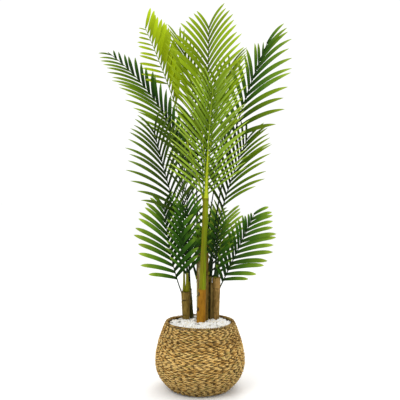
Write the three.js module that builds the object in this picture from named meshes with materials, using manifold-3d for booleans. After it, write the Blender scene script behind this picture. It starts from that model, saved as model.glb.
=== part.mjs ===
// An artificial areca palm of seven canes in a round seagrass basket filled with white pebbles.
// Millimetres and degrees, +Z up. The origin is the middle of the basket's flat underside,
// +X is to the right and -Y is the side that the plant shows to the room.
import * as THREE from 'three';
import { mergeVertices } from 'three/addons/utils/BufferGeometryUtils.js';
import Module from 'manifold-3d';

const wasm = await Module();
wasm.setup();

const gap = 0.3; // kept between neighbouring pieces
const sunk = 2; // how far a stalk starts below the top of what carries it
const merge = 1e-4; // vertices nearer than this are one

const basket = {
  height: 270,
  footRadius: 119,
  bellyRadius: 182,
  bellyHeight: 117,
  rimRadius: 140,
  lowerCurve: 2.3,
  upperCurve: 1.6,
  wall: 11,
  floor: 12,
  firstRow: 6,
  rowGap: 37,
  groove: 4.2,
  sides: 32,
};

const bed = {
  under: 236,
  edge: 256,
  middle: 262,
  stones: 30,
  stoneRadius: 13,
  stoneShape: [1.25, 1, 0.7],
  stoneTilt: 0.5,
  rimRoom: 1.55,
};

// Each cane stands on the filling and leans evenly from its foot to its top
const canes = {
  front: { foot: [3, 0], top: [9, 0], height: 398, footRadius: 19, topRadius: 15.5 },
  mid_left: { foot: [-2, 62], top: [-2, 65], height: 575, footRadius: 13, topRadius: 11 },
  mid_right: { foot: [21, 38], top: [24, 42], height: 575, footRadius: 13, topRadius: 11 },
  left: { foot: [-58, 60], top: [-59, 60], height: 378, footRadius: 13.5, topRadius: 17.5 },
  left_back: { foot: [-31, 80], top: [-45, 88], height: 388, footRadius: 8, topRadius: 7.5 },
  right: { foot: [68, 58], top: [67.5, 58], height: 437, footRadius: 10, topRadius: 15 },
  right_back: { foot: [44, 62], top: [40, 72], height: 418, footRadius: 8.5, topRadius: 8.5 },
};
const cane = { sides: 12, flare: 1.14, flareHeight: 34 };

// The green sheath that grows on out of the front cane
const crownshaft = {
  foot: [8.8, 0],
  top: [23, 0],
  height: 757,
  footRadius: 14,
  waistRadius: 11,
  neckRadius: 11.5,
  topRadius: 12.5,
  waistShare: 0.45,
  neckShare: 0.85,
};

// A frond's lean from upright and its azimuth run from its foot to its tip, bend is the power
// by which its lean grows, length is its stalk and blade together, and bare is the share of it
// that is stalk. Leaf is the longest leaflet, with the share favour more at the right, and base
// and ends are the shares of it at the blade's foot and, at the left and right, at its tip. Open
// is a leaflet's angle to the rib at the blade's foot, with skew more at the left and the share
// closing less at the tip. The blade's upper side looks towards the azimuth face, and its
// leaflets lift towards it.
const usual = {
  swing: 0, bend: 1.3, favour: 0, face: 270, up: 0.3, open: 54, skew: 0, closing: 0.66,
  base: 0.8, ends: [0.45, 0.45], lift: 14, curl: 0.3, droop: 0.35, stalk: 4,
};
const fronds = {
  front: {
    on: 'crown', at: [1, -5], az: 290, lean: [5, 17], length: 455, bare: 0.02, leaf: 208,
    favour: 0.08, pairs: 15, up: 0.35, open: 52, closing: 0.5, curl: 0.12, droop: 0.18,
    stalk: 5.5,
  },
  top_left: {
    on: 'crown', at: [-7, 2], az: 172, swing: -25, lean: [15, 27], length: 785, bare: 0.5,
    leaf: 152, favour: 0.28, pairs: 15, face: 295, open: 52, skew: 25, closing: 0.05,
    ends: [0.28, 0.6], lift: 14, curl: 0.25, droop: 0.1, stalk: 3.4,
  },
  top_inner_left: {
    on: 'crown', at: [-1, 8], az: 150, lean: [0, 24], length: 690, bare: 0.32, leaf: 200,
    pairs: 14, face: 300, open: 44, lift: 8, curl: 0.1, droop: 0.15, stalk: 3.4,
  },
  top_inner_right: {
    on: 'crown', at: [7, 3], az: 40, swing: -10, lean: [1, 26], length: 580, bare: 0.34,
    leaf: 205, pairs: 12, face: 238, open: 46, droop: 0.2, stalk: 3.4,
  },
  top: {
    on: 'mid_right', at: [1, -4], az: 50, lean: [0, 3], length: 908, bare: 0.56, leaf: 215,
    pairs: 14, open: 40, skew: 3, closing: 0.42, ends: [0.4, 0.48], curl: 0.5, droop: 0.1,
  },
  upper_left: {
    on: 'mid_left', at: [-4, -3], az: 182, swing: 12, lean: [3, 56], bend: 1.35, length: 900,
    bare: 0.4, leaf: 164, favour: -0.15, pairs: 17, face: 235, open: 32, skew: -6, closing: 0.2,
    base: 0.9, ends: [0.26, 0.08], lift: 26, droop: 0.24,
  },
  upper_right: {
    on: 'right_back', at: [0, 0], az: 4, swing: -16, lean: [3, 24.5], bend: 1, length: 1055,
    bare: 0.53, leaf: 206, favour: 0.08, pairs: 12, face: 288, open: 48, skew: 4, closing: 0.68,
    ends: [0.02, 0.44], lift: 24, curl: 0.5, droop: 0.36, stalk: 4.5,
  },
  mid_left: {
    on: 'mid_left', at: [-8, 0], from: 430, az: 196, lean: [19, 14], length: 635, bare: 0.44,
    leaf: 215, pairs: 13, face: 285, open: 44, curl: 0.5, droop: 0.34,
  },
  mid_right: {
    on: 'mid_right', at: [8, 0], from: 450, az: 14, lean: [11, 25], length: 595, bare: 0.46,
    leaf: 205, pairs: 12, face: 255, open: 40, closing: 0.5, curl: 0.45, droop: 0.25,
  },
  mid_inner_left: {
    on: 'left', at: [-7, 2], az: 105, lean: [1, 12], length: 640, bare: 0.52, leaf: 175,
    pairs: 11, face: 220, open: 46,
  },
  low_left: {
    on: 'left', at: [-8, -2], from: 350, az: 193, lean: [27, 5], bend: 0.5, length: 395,
    bare: 0.2, leaf: 168, pairs: 12, open: 64, base: 0.7, ends: [0.45, 0.4], curl: 0.12,
    droop: 0.16, stalk: 2.8,
  },
  low_inner_left: {
    on: 'left', at: [7, -3], az: 260, lean: [5, 9], length: 350, bare: 0.18, leaf: 165,
    pairs: 11, open: 48, closing: 0.4, curl: 0.15, droop: 0.2, stalk: 5.5,
  },
  low_back_left: {
    on: 'left_back', at: [0, 0], az: 96, lean: [4, 38], length: 430, bare: 0.28, leaf: 170,
    pairs: 11, face: 310, open: 52, droop: 0.2,
  },
  low_right: {
    on: 'right', at: [8, -2], from: 380, az: 350, lean: [26, 24], bend: 1, length: 360,
    bare: 0.1, leaf: 168, pairs: 13, open: 60, closing: 0.55, base: 0.6, ends: [0.4, 0.36],
    curl: 0.1, droop: 0.16, stalk: 2.8,
  },
  low_inner_right: {
    on: 'right', at: [-4, -6], az: 290, lean: [6, 10], length: 255, bare: 0.06, leaf: 140,
    pairs: 9, open: 48, closing: 0.4, curl: 0.15, droop: 0.2, stalk: 4.5,
  },
  low_back_right: {
    on: 'right', at: [3, 7], az: 44, lean: [5, 22], length: 290, bare: 0.3, leaf: 135, pairs: 8,
    open: 46, closing: 0.12, ends: [0.55, 0.55], curl: 0.15, droop: 0.16, stalk: 4.5,
  },
  back_top: {
    on: 'mid_right', at: [-5, 5], az: 97, lean: [4, 48], length: 640, bare: 0.4, leaf: 190,
    pairs: 13, face: 208,
  },
  back_left: {
    on: 'mid_left', at: [3, 6], az: 134, lean: [8, 44], length: 600, bare: 0.36, leaf: 190,
    pairs: 13, face: 352,
  },
  back_right: {
    on: 'mid_right', at: [6, 4], az: 56, lean: [8, 44], length: 600, bare: 0.36, leaf: 190,
    pairs: 13, face: 188,
  },
  back_high: {
    on: 'mid_left', at: [0, 8], from: 470, az: 102, lean: [9, 20], length: 800, bare: 0.46,
    leaf: 185, pairs: 13, face: 100,
  },
  back_low: {
    on: 'right_back', at: [0, 6], from: 330, az: 75, lean: [12, 42], length: 420, bare: 0.22,
    leaf: 165, pairs: 11, face: 100, droop: 0.2,
  },
};
// A rib is square, corner is half its side over its radius, and taper is the power by which its
// radius shrinks
const rib = { steps: 24, stalkRings: 4, tipRadius: 1.3, corner: 0.85, taper: 0.7 };
// A leaflet is widest at the step waist of its midline, slim and thick are its length over
// its width and thickness, and roots is half the length of rib that its root takes. The longest
// ones grow at the share peak of the blade, falling is the power by which they shorten from
// there to its tip, and none is shorter than the share least. Uneven and wobble are the spreads
// of its length, as a share, and of its angle, in degrees.
const leaflet = {
  steps: 6,
  waist: 3,
  slim: 10.5,
  thick: 60,
  roots: 3,
  crowding: 0.95,
  peak: 0.35,
  falling: 1.6,
  least: 0.14,
  closingPower: 0.8,
  leftRoot: 0.35,
  rightRoot: 0.65,
  lastRoot: 0.98,
  uneven: 0.12,
  wobble: 3,
};
const goldenTurn = Math.PI * (3 - Math.sqrt(5)); // spreads the pebbles evenly
const tries = [1, 0.8, 0.6]; // shares of its length that a crowded leaflet is cut back to

const colours = {
  basket: 0xb28d4f,
  pot_filling: 0x3a3530,
  pebble_bed: 0xf2f0ea,
  cane: 0x7d6a3c,
  cane_front: 0xa86f1c,
  cane_mid_left: 0x9a7a4a,
  cane_mid_right: 0x9a7a4a,
  crownshaft: 0x93a31c,
  leafLight: 0x86a81c,
  leafMid: 0x4f8420,
  leafDark: 0x24581c,
};
const leafColours = {
  top_left: 'leafLight', top_inner_left: 'leafLight', top_inner_right: 'leafLight',
  top: 'leafLight', front: 'leafMid', back_top: 'leafMid', upper_right: 'leafMid',
};

function radians(degrees) {
  return THREE.MathUtils.degToRad(degrees);
}

// The same even scatter from 0 to 1 for the same number, each time
function scatter(number) {
  const wave = Math.sin(number * 12.9898 + 4.1414) * 43758.5453;
  return wave - Math.floor(wave);
}

function solidOf(geometry) {
  const bare = new THREE.BufferGeometry();
  bare.setAttribute('position', geometry.getAttribute('position'));
  if (geometry.index) {
    bare.setIndex(geometry.index);
  }
  const welded = mergeVertices(bare, merge);
  return new wasm.Manifold(new wasm.Mesh({
    numProp: 3,
    vertProperties: new Float32Array(welded.getAttribute('position').array),
    triVerts: new Uint32Array(welded.index.array),
  }));
}

function geometryOf(solid) {
  const mesh = solid.getMesh();
  const geometry = new THREE.BufferGeometry();
  geometry.setAttribute('position', new THREE.BufferAttribute(mesh.vertProperties, 3));
  geometry.setIndex(new THREE.BufferAttribute(mesh.triVerts, 1));
  geometry.computeVertexNormals();
  return geometry;
}

// A turned shape about Z from [radius, height] pairs that run up its outside
function turned(profile, sides) {
  const points = profile.map(([radius, height]) => new THREE.Vector2(radius, height));
  const shape = new THREE.LatheGeometry(points, sides);
  shape.rotateX(Math.PI / 2);
  return shape;
}

function skinOf(points, index) {
  const positions = points.flatMap((point) => point.toArray());
  const geometry = new THREE.BufferGeometry();
  geometry.setAttribute('position', new THREE.Float32BufferAttribute(positions, 3));
  geometry.setIndex(index);
  return geometry;
}

// A closed skin over rings of points, where the last ring may be a single point
function loft(rings) {
  const around = rings[0].length;
  const index = [];
  for (let side = 2; side < around; side += 1) {
    index.push(0, side, side - 1);
  }
  for (let ring = 1; ring < rings.length; ring += 1) {
    const low = (ring - 1) * around;
    const high = ring * around;
    for (let side = 0; side < around; side += 1) {
      const next = (side + 1) % around;
      if (rings[ring].length === 1) {
        index.push(low + side, low + next, high);
      } else {
        index.push(low + side, low + next, high + next, low + side, high + next, high + side);
      }
    }
  }
  if (rings.at(-1).length > 1) {
    const last = (rings.length - 1) * around;
    for (let side = 2; side < around; side += 1) {
      index.push(last, last + side - 1, last + side);
    }
  }
  return skinOf(rings.flat(), index);
}

function basketRadius(height) {
  if (height < basket.bellyHeight) {
    const below = 1 - height / basket.bellyHeight;
    return basket.bellyRadius - (basket.bellyRadius - basket.footRadius) * below ** basket.lowerCurve;
  }
  const above = (height - basket.bellyHeight) / (basket.height - basket.bellyHeight);
  return basket.bellyRadius - (basket.bellyRadius - basket.rimRadius) * above ** basket.upperCurve;
}

// The heights at which the wall bends inside, close together where it is tightly curved
const wallHeights = [0, 14, 34, 60, 90, 125, 160, 195, bed.under, bed.edge, basket.height];

function wallBetween(low, high, inset) {
  const heights = wallHeights.filter((height) => height > low && height < high);
  return [low, ...heights, high].map((height) => [basketRadius(height) - inset, height]);
}

// The basket's outside swells out in rows, with a groove between each two
function basketOutside() {
  const points = [[basket.footRadius, 0]];
  for (let height = basket.firstRow; height < basket.height; height += basket.rowGap) {
    points.push([basketRadius(height), height]);
    const between = height + basket.rowGap / 2;
    if (between < basket.height) {
      points.push([basketRadius(between) - basket.groove, between]);
    }
  }
  return [...points, [basket.rimRadius, basket.height]];
}

function makeBasket() {
  const outside = basketOutside();
  const inside = wallBetween(basket.floor, basket.height, basket.wall).reverse();
  return solidOf(turned([[0, 0], ...outside, ...inside, [0, basket.floor]], basket.sides));
}

function makeFilling() {
  const low = basket.floor + gap;
  const high = bed.under - gap;
  const side = wallBetween(low, high, basket.wall + gap);
  return solidOf(turned([[0, low], ...side, [0, high]], basket.sides));
}

// A pebble is a squashed, turned octahedron that is half sunk in the bed
function makePebble(number) {
  const reach = basketRadius(bed.edge) - basket.wall - bed.stoneRadius * bed.rimRoom;
  const radius = reach * Math.sqrt((number + 0.5) / bed.stones);
  const turn = number * goldenTurn;
  const size = bed.stoneRadius * (0.8 + 0.4 * scatter(number));
  const height = THREE.MathUtils.lerp(bed.middle, bed.edge, radius / reach);
  const stone = new THREE.OctahedronGeometry(size);
  stone.scale(...bed.stoneShape);
  stone.rotateX(bed.stoneTilt * scatter(number + 90));
  stone.rotateZ(Math.PI * scatter(number + 180));
  stone.translate(radius * Math.cos(turn), radius * Math.sin(turn), height);
  return solidOf(stone);
}

function makeBed() {
  const rim = basketRadius(bed.edge) - basket.wall - gap;
  const foot = basketRadius(bed.under) - basket.wall - gap;
  const outline = [[0, bed.under], [foot, bed.under], [rim, bed.edge], [0, bed.middle]];
  let solid = solidOf(turned(outline, basket.sides));
  const stems = Object.values(canes).map((stem) => boxed('stem', makeCane(stem, gap)));
  for (let number = 0; number < bed.stones; number += 1) {
    const pebble = makePebble(number);
    if (!touches(pebble, stems)) {
      solid = solid.add(pebble);
    }
  }
  for (const stem of stems) {
    solid = solid.subtract(stem.solid);
  }
  return solid;
}

// A turned length of cane whose foot and top stay level while its axis leans
function leaning(profile, foot, top, low, high) {
  const shape = turned(profile, cane.sides);
  const position = shape.getAttribute('position');
  for (let item = 0; item < position.count; item += 1) {
    const share = (position.getZ(item) - low) / (high - low);
    position.setX(item, position.getX(item) + THREE.MathUtils.lerp(foot[0], top[0], share));
    position.setY(item, position.getY(item) + THREE.MathUtils.lerp(foot[1], top[1], share));
  }
  return solidOf(shape);
}

function makeCane(stem, grown) {
  const low = bed.under;
  const flareTop = low + cane.flareHeight;
  const share = cane.flareHeight / (stem.height - low);
  const waist = THREE.MathUtils.lerp(stem.footRadius, stem.topRadius, share);
  return leaning([
    [0, low - grown],
    [stem.footRadius * cane.flare + grown, low - grown],
    [waist + grown, flareTop],
    [stem.topRadius + grown, stem.height + grown],
    [0, stem.height + grown],
  ], stem.foot, stem.top, low, stem.height);
}

function makeCrownshaft(grown) {
  const low = canes.front.height + gap;
  const high = crownshaft.height;
  return leaning([
    [0, low],
    [crownshaft.footRadius + grown, low],
    [crownshaft.waistRadius + grown, THREE.MathUtils.lerp(low, high, crownshaft.waistShare)],
    [crownshaft.neckRadius + grown, THREE.MathUtils.lerp(low, high, crownshaft.neckShare)],
    [crownshaft.topRadius + grown, high + grown],
    [0, high + grown],
  ], crownshaft.foot, crownshaft.top, low, high);
}

// Where a frond's stalk starts: inside the top of what carries it, or inside its side
function footOf(frond) {
  const stem = frond.on === 'crown' ? crownshaft : canes[frond.on];
  const height = frond.from ?? stem.height - sunk;
  const low = frond.on === 'crown' ? canes.front.height : bed.under;
  const share = (height - low) / (stem.height - low);
  return new THREE.Vector3(
    THREE.MathUtils.lerp(stem.foot[0], stem.top[0], share) + frond.at[0],
    THREE.MathUtils.lerp(stem.foot[1], stem.top[1], share) + frond.at[1],
    height,
  );
}

function heading(frond, share) {
  const lean = radians(THREE.MathUtils.lerp(frond.lean[0], frond.lean[1], share ** frond.bend));
  const azimuth = radians(frond.az + frond.swing * share);
  return new THREE.Vector3(
    Math.sin(lean) * Math.cos(azimuth),
    Math.sin(lean) * Math.sin(azimuth),
    Math.cos(lean),
  );
}

// Points along the rib, each with its heading, the way to its right and its upper side
function ribFrames(frond) {
  const face = radians(frond.face);
  const look = new THREE.Vector3(Math.cos(face), Math.sin(face), frond.up);
  const place = footOf(frond);
  const frames = [];
  for (let step = 0; step <= rib.steps; step += 1) {
    const along = heading(frond, step / rib.steps);
    const upper = look.clone().addScaledVector(along, -look.dot(along)).normalize();
    const right = along.clone().cross(upper);
    frames.push({ place: place.clone(), along, right, upper });
    place.addScaledVector(heading(frond, (step + 0.5) / rib.steps), frond.length / rib.steps);
  }
  return frames;
}

function frameAt(frames, share) {
  const where = share * (frames.length - 1);
  const before = Math.min(Math.floor(where), frames.length - 2);
  const mix = where - before;
  const blend = (key) => frames[before][key].clone().lerp(frames[before + 1][key], mix);
  return {
    place: blend('place'),
    along: blend('along').normalize(),
    right: blend('right').normalize(),
    upper: blend('upper').normalize(),
  };
}

// How long a leaflet is along the blade, from 0 at the blade's foot to 1 at its tip
function leafShare(frond, share, hand) {
  const most = 1 + hand * frond.favour;
  if (share < leaflet.peak) {
    return most * (1 - (1 - frond.base) * (1 - share / leaflet.peak) ** 2);
  }
  const fallen = ((share - leaflet.peak) / (1 - leaflet.peak)) ** leaflet.falling;
  return most * (1 - (1 - frond.ends[hand > 0 ? 1 : 0]) * fallen);
}

// Where a leaflet's root sits on the rib, a little further on at the right than at the left
function rootShare(frond, pair, hand) {
  const stagger = hand > 0 ? leaflet.rightRoot : leaflet.leftRoot;
  const along = Math.min(leaflet.lastRoot, (pair + stagger) / frond.pairs);
  return frond.bare + (1 - frond.bare) * along;
}

// The midline of one leaflet: it leaves the rib forwards, bends outwards and droops
function leafletLine(frond, frames, seed, pair, hand) {
  const share = (pair + 0.5) / frond.pairs;
  const grown = leafShare(frond, share, hand);
  const number = seed * 101 + pair * 2 + (hand > 0 ? 1 : 0);
  const { place, along, right, upper } = frameAt(frames, rootShare(frond, pair, hand));
  const closed = frond.closing * share ** leaflet.closingPower;
  const spread = frond.open * (1 - closed) - hand * frond.skew;
  const open = radians(spread + leaflet.wobble * (scatter(number) - 0.5));
  const lift = radians(frond.lift);
  const outward = right.clone().multiplyScalar(hand * Math.cos(lift));
  outward.addScaledVector(upper, Math.sin(lift));
  const start = along.clone().multiplyScalar(Math.cos(open)).addScaledVector(outward, Math.sin(open));
  const uneven = 1 + leaflet.uneven * (scatter(number + 50) - 0.5);
  const length = frond.leaf * grown * uneven;
  const points = [place.clone()];
  const ways = [start.clone()];
  for (let step = 0; step < leaflet.steps; step += 1) {
    const run = (step + 0.5) / leaflet.steps;
    const way = start.clone().addScaledVector(outward, frond.curl * run);
    way.z -= frond.droop * run ** 2;
    way.normalize();
    place.addScaledVector(way, length / leaflet.steps);
    points.push(place.clone());
    ways.push(way);
  }
  const pitch = frond.length * (1 - frond.bare) / frond.pairs;
  const room = pitch * along.clone().cross(ways[leaflet.waist]).length() * leaflet.crowding;
  const halfWidth = Math.min(length / leaflet.slim, room) / 2;
  const halfThick = length / leaflet.thick / 2;
  const halfRoot = frond.stalk * rib.corner;
  return { points, ways, along, hand, grown, halfWidth, halfThick, halfRoot };
}

// A point of a leaflet's midline when the leaflet is cut back
function leafletPoint(line, step, cutBack) {
  return line.points[0].clone().lerp(line.points.at(step), cutBack);
}

// The four corners of a leaflet's section at a step: its near edge, crown, far edge and keel
function leafletSection(line, step, cutBack, halfWidth, halfThick) {
  const way = line.ways[step];
  const across = line.along.clone().addScaledVector(way, -line.along.dot(way)).normalize();
  const above = way.clone().cross(across).multiplyScalar(line.hand);
  const middle = leafletPoint(line, step, cutBack);
  return [
    middle.clone().addScaledVector(across, -halfWidth),
    middle.clone().addScaledVector(above, halfThick),
    middle.clone().addScaledVector(across, halfWidth),
    middle.clone().addScaledVector(above, -halfThick),
  ];
}

function leafletTip(line, cutBack, grown) {
  return leafletPoint(line, -1, cutBack).addScaledVector(line.ways.at(-1), grown);
}

// A leaflet alone, a little larger than it is, for finding what it would touch
function makeReach(line, cutBack) {
  const grown = 2 * gap;
  const { halfRoot, halfWidth, halfThick } = line;
  const root = leafletSection(line, 0, cutBack, halfRoot + grown, halfRoot + grown);
  const waist = leafletSection(line, leaflet.waist, cutBack, halfWidth + grown, halfThick + grown);
  const rings = line.hand > 0 ? [root.reverse(), waist.reverse()] : [root, waist];
  return solidOf(loft([...rings, [leafletTip(line, cutBack, grown)]]));
}

// One frond as a thin blade cut in to its rib between the leaflets. The rib has square
// sections, and a leaflet grows out of its side wall between two of them.
function makeFrond(frond, frames, leaves) {
  const points = [];
  const index = [];
  const corner = (share, across, above) => {
    const { place, right, upper } = frameAt(frames, share);
    const half = THREE.MathUtils.lerp(frond.stalk, rib.tipRadius, share ** rib.taper) * rib.corner;
    return place.addScaledVector(right, across * half).addScaledVector(upper, above * half);
  };
  const addRing = (rightShare, leftShare) => {
    points.push(corner(rightShare, 1, 1), corner(rightShare, 1, -1));
    points.push(corner(leftShare, -1, -1), corner(leftShare, -1, 1));
    return points.length - 4;
  };
  const addQuad = (a, b, c, d) => index.push(a, b, c, a, c, d);
  const addLeaf = (low, high, leaf) => {
    const { line, cutBack } = leaf;
    const [near, crown, far, keel] = [0, 1, 2, 3].map((item) => points.length + item);
    const tip = keel + 1;
    points.push(...leafletSection(line, leaflet.waist, cutBack, line.halfWidth, line.halfThick));
    points.push(leafletTip(line, cutBack, 0));
    const first = line.hand > 0 ? 0 : 2;
    const root = [low + first, low + first + 1, high + first + 1, high + first];
    const waist = line.hand > 0 ? [near, keel, far, crown] : [near, crown, far, keel];
    for (let item = 0; item < 4; item += 1) {
      const next = (item + 1) % 4;
      index.push(root[item], root[next], waist[item]);
      index.push(root[next], waist[next], waist[item]);
      index.push(waist[item], waist[next], tip);
    }
  };
  let last = addRing(0, 0);
  addQuad(last + 1, last, last + 3, last + 2);
  const addSpan = (rightShare, leftShare, rightLeaf, leftLeaf) => {
    const next = addRing(rightShare, leftShare);
    addQuad(last, next, next + 3, last + 3);
    addQuad(last + 1, last + 2, next + 2, next + 1);
    if (rightLeaf) {
      addLeaf(last, next, rightLeaf);
    } else {
      addQuad(last + 1, next + 1, next, last);
    }
    if (leftLeaf) {
      addLeaf(last, next, leftLeaf);
    } else {
      addQuad(last + 2, last + 3, next + 3, next + 2);
    }
    last = next;
  };
  for (let ring = 1; ring <= rib.stalkRings; ring += 1) {
    const share = frond.bare * ring / (rib.stalkRings + 0.5);
    addSpan(share, share);
  }
  const half = leaflet.roots / frond.length;
  for (let pair = 0; pair < frond.pairs; pair += 1) {
    const right = rootShare(frond, pair, 1);
    const left = rootShare(frond, pair, -1);
    addSpan(right - half, left - half);
    addSpan(right + half, left + half, leaves[1][pair], leaves[-1][pair]);
  }
  addSpan(1, 1);
  addQuad(last, last + 1, last + 2, last + 3);
  return solidOf(skinOf(points, index));
}

function boxesMeet(one, other) {
  return [0, 1, 2].every((axis) => (
    one.min[axis] < other.max[axis] && one.max[axis] > other.min[axis]
  ));
}

function touches(solid, others) {
  const box = solid.boundingBox();
  return others.some((other) => boxesMeet(box, other.box) && !solid.intersect(other.solid).isEmpty());
}

function boxed(name, solid) {
  return { name, solid, box: solid.boundingBox() };
}

// The leaflets of one frond that stay clear of everything else, cut back where it is crowded
function leavesFor(frond, frames, seed, others) {
  const leaves = { [-1]: [], 1: [] };
  for (const hand of [-1, 1]) {
    const near = [];
    for (let pair = 0; pair < frond.pairs; pair += 1) {
      const line = leafletLine(frond, frames, seed, pair, hand);
      const clear = (share) => !touches(makeReach(line, share), [...others, ...near]);
      const cutBack = line.grown < leaflet.least ? undefined : tries.find(clear);
      leaves[hand].push(cutBack ? { line, cutBack } : undefined);
      if (cutBack) {
        near.push(boxed('leaflet', makeReach(line, cutBack)));
      }
    }
  }
  return leaves;
}

function makePieces() {
  const pieces = [
    boxed('basket', makeBasket()),
    boxed('pot_filling', makeFilling()),
    boxed('pebble_bed', makeBed()),
    boxed('crownshaft', makeCrownshaft(0)),
  ];
  for (const name of Object.keys(canes)) {
    pieces.push(boxed(`cane_${name}`, makeCane(canes[name], 0)));
  }
  const grown = Object.keys(fronds).map((name) => {
    const frond = { ...usual, ...fronds[name] };
    const frames = ribFrames(frond);
    const stem = frond.on === 'crown' ? makeCrownshaft(gap) : makeCane(canes[frond.on], gap);
    const stalk = makeFrond(frond, frames, { [-1]: [], 1: [] }).subtract(stem);
    return { name: `frond_${name}`, frond, frames, stem, piece: boxed(name, stalk) };
  });
  grown.forEach((one, place) => {
    const others = grown.filter((other) => other !== one).map((other) => other.piece);
    const leaves = leavesFor(one.frond, one.frames, place + 1, [...pieces, ...others]);
    one.piece = boxed(one.name, makeFrond(one.frond, one.frames, leaves).subtract(one.stem));
  });
  return [...pieces, ...grown.map((one) => one.piece)];
}

function colourOf(name) {
  const [kind, ...rest] = name.split('_');
  if (kind === 'frond') {
    return colours[leafColours[rest.join('_')] ?? 'leafDark'];
  }
  return colours[name] ?? colours.cane;
}

const palm = new THREE.Group();
for (const { name, solid } of makePieces()) {
  const roughness = name.startsWith('frond_') ? 0.45 : 0.8;
  const material = new THREE.MeshStandardMaterial({ color: colourOf(name), roughness, metalness: 0 });
  const mesh = new THREE.Mesh(geometryOf(solid), material);
  mesh.name = name;
  palm.add(mesh);
}

export default palm;
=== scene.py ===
# Looks of an artificial areca palm that stands in a woven seagrass basket
# metres, +Z up, the palm's shown side looks towards -Y
import math
import random

import bmesh
import bpy
import numpy as np
from mathutils import Matrix, Vector, noise


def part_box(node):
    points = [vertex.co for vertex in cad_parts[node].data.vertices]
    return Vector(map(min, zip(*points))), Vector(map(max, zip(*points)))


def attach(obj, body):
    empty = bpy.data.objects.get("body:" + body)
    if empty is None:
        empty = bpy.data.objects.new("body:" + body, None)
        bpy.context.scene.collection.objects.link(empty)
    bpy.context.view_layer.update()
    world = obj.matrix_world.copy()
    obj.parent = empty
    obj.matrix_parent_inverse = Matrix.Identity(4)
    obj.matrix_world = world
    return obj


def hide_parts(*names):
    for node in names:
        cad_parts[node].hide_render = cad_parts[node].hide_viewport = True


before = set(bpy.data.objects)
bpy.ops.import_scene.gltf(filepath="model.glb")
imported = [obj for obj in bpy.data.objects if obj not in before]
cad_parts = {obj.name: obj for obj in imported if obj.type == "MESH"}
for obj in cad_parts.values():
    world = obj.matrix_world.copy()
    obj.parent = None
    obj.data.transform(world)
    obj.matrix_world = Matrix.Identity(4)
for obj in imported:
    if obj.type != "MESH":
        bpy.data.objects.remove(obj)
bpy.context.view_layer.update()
mm = 0.001
turn = 2 * math.pi
print("frame loaded")

# camera, lights and floor
studio = {
    "cameraPlace": (0.0, -2.2, 0.757),
    "lens": 48.9,
    "sensor": 36.0,
    "skyStrength": 1.05,
    "floorWidth": 240.0,
    "floorColour": (0.965, 0.965, 0.96, 1.0),
    "floorRoughness": 0.9,
    "lamps": {
        "key": {"place": (-1.7, -2.3, 2.7), "aim": (0.0, 0.0, 0.9), "width": 1.6, "watts": 40},
        "fill": {"place": (2.3, -1.6, 1.7), "aim": (0.0, 0.0, 0.7), "width": 1.8, "watts": 8},
        "back": {"place": (0.8, 2.3, 2.6), "aim": (0.0, 0.0, 1.0), "width": 1.6, "watts": 24},
    },
}

camera = bpy.data.objects.new("camera", bpy.data.cameras.new("camera"))
camera.data.lens = studio["lens"]
camera.data.sensor_width = studio["sensor"]
camera.location = studio["cameraPlace"]
camera.rotation_euler = (math.pi / 2, 0, 0)
bpy.context.scene.collection.objects.link(camera)
bpy.context.scene.camera = camera
bpy.context.scene.view_settings.view_transform = "Standard"

for lampName, lampSettings in studio["lamps"].items():
    lamp = bpy.data.objects.new(lampName, bpy.data.lights.new(lampName, "AREA"))
    lamp.data.energy = lampSettings["watts"]
    lamp.data.size = lampSettings["width"]
    lamp.location = lampSettings["place"]
    aimWay = Vector(lampSettings["aim"]) - Vector(lampSettings["place"])
    lamp.rotation_euler = aimWay.to_track_quat("-Z", "Y").to_euler()
    bpy.context.scene.collection.objects.link(lamp)

world = bpy.data.worlds.new("sky")
world.use_nodes = True
sky = world.node_tree.nodes["Background"].inputs
sky["Color"].default_value = (1.0, 1.0, 1.0, 1.0)
sky["Strength"].default_value = studio["skyStrength"]
bpy.context.scene.world = world


def maths(operation, turned=False):
    # a sum of a wire and another value, turned where the wire comes second
    def result(wire, other=0.0):
        first, second = (other, wire) if turned else (wire, other)
        return wire.paint.node("ShaderNodeMath", {"operation": operation}, {0: first, 1: second})

    return result


# a socket that takes part in sums
class Wire:
    __add__ = maths("ADD")
    __radd__ = maths("ADD", True)
    __rsub__ = maths("SUBTRACT", True)
    __mul__ = maths("MULTIPLY")
    __rmul__ = maths("MULTIPLY", True)
    sine = maths("SINE")

    def __init__(self, paint, socket):
        self.paint = paint
        self.socket = socket

    def between(self, low, high):
        # 0 at low, 1 at high and smooth on the way
        return self.paint.node("ShaderNodeMapRange", {"interpolation_type": "SMOOTHSTEP"},
                               {"Value": self, "From Min": low, "From Max": high})


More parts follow.
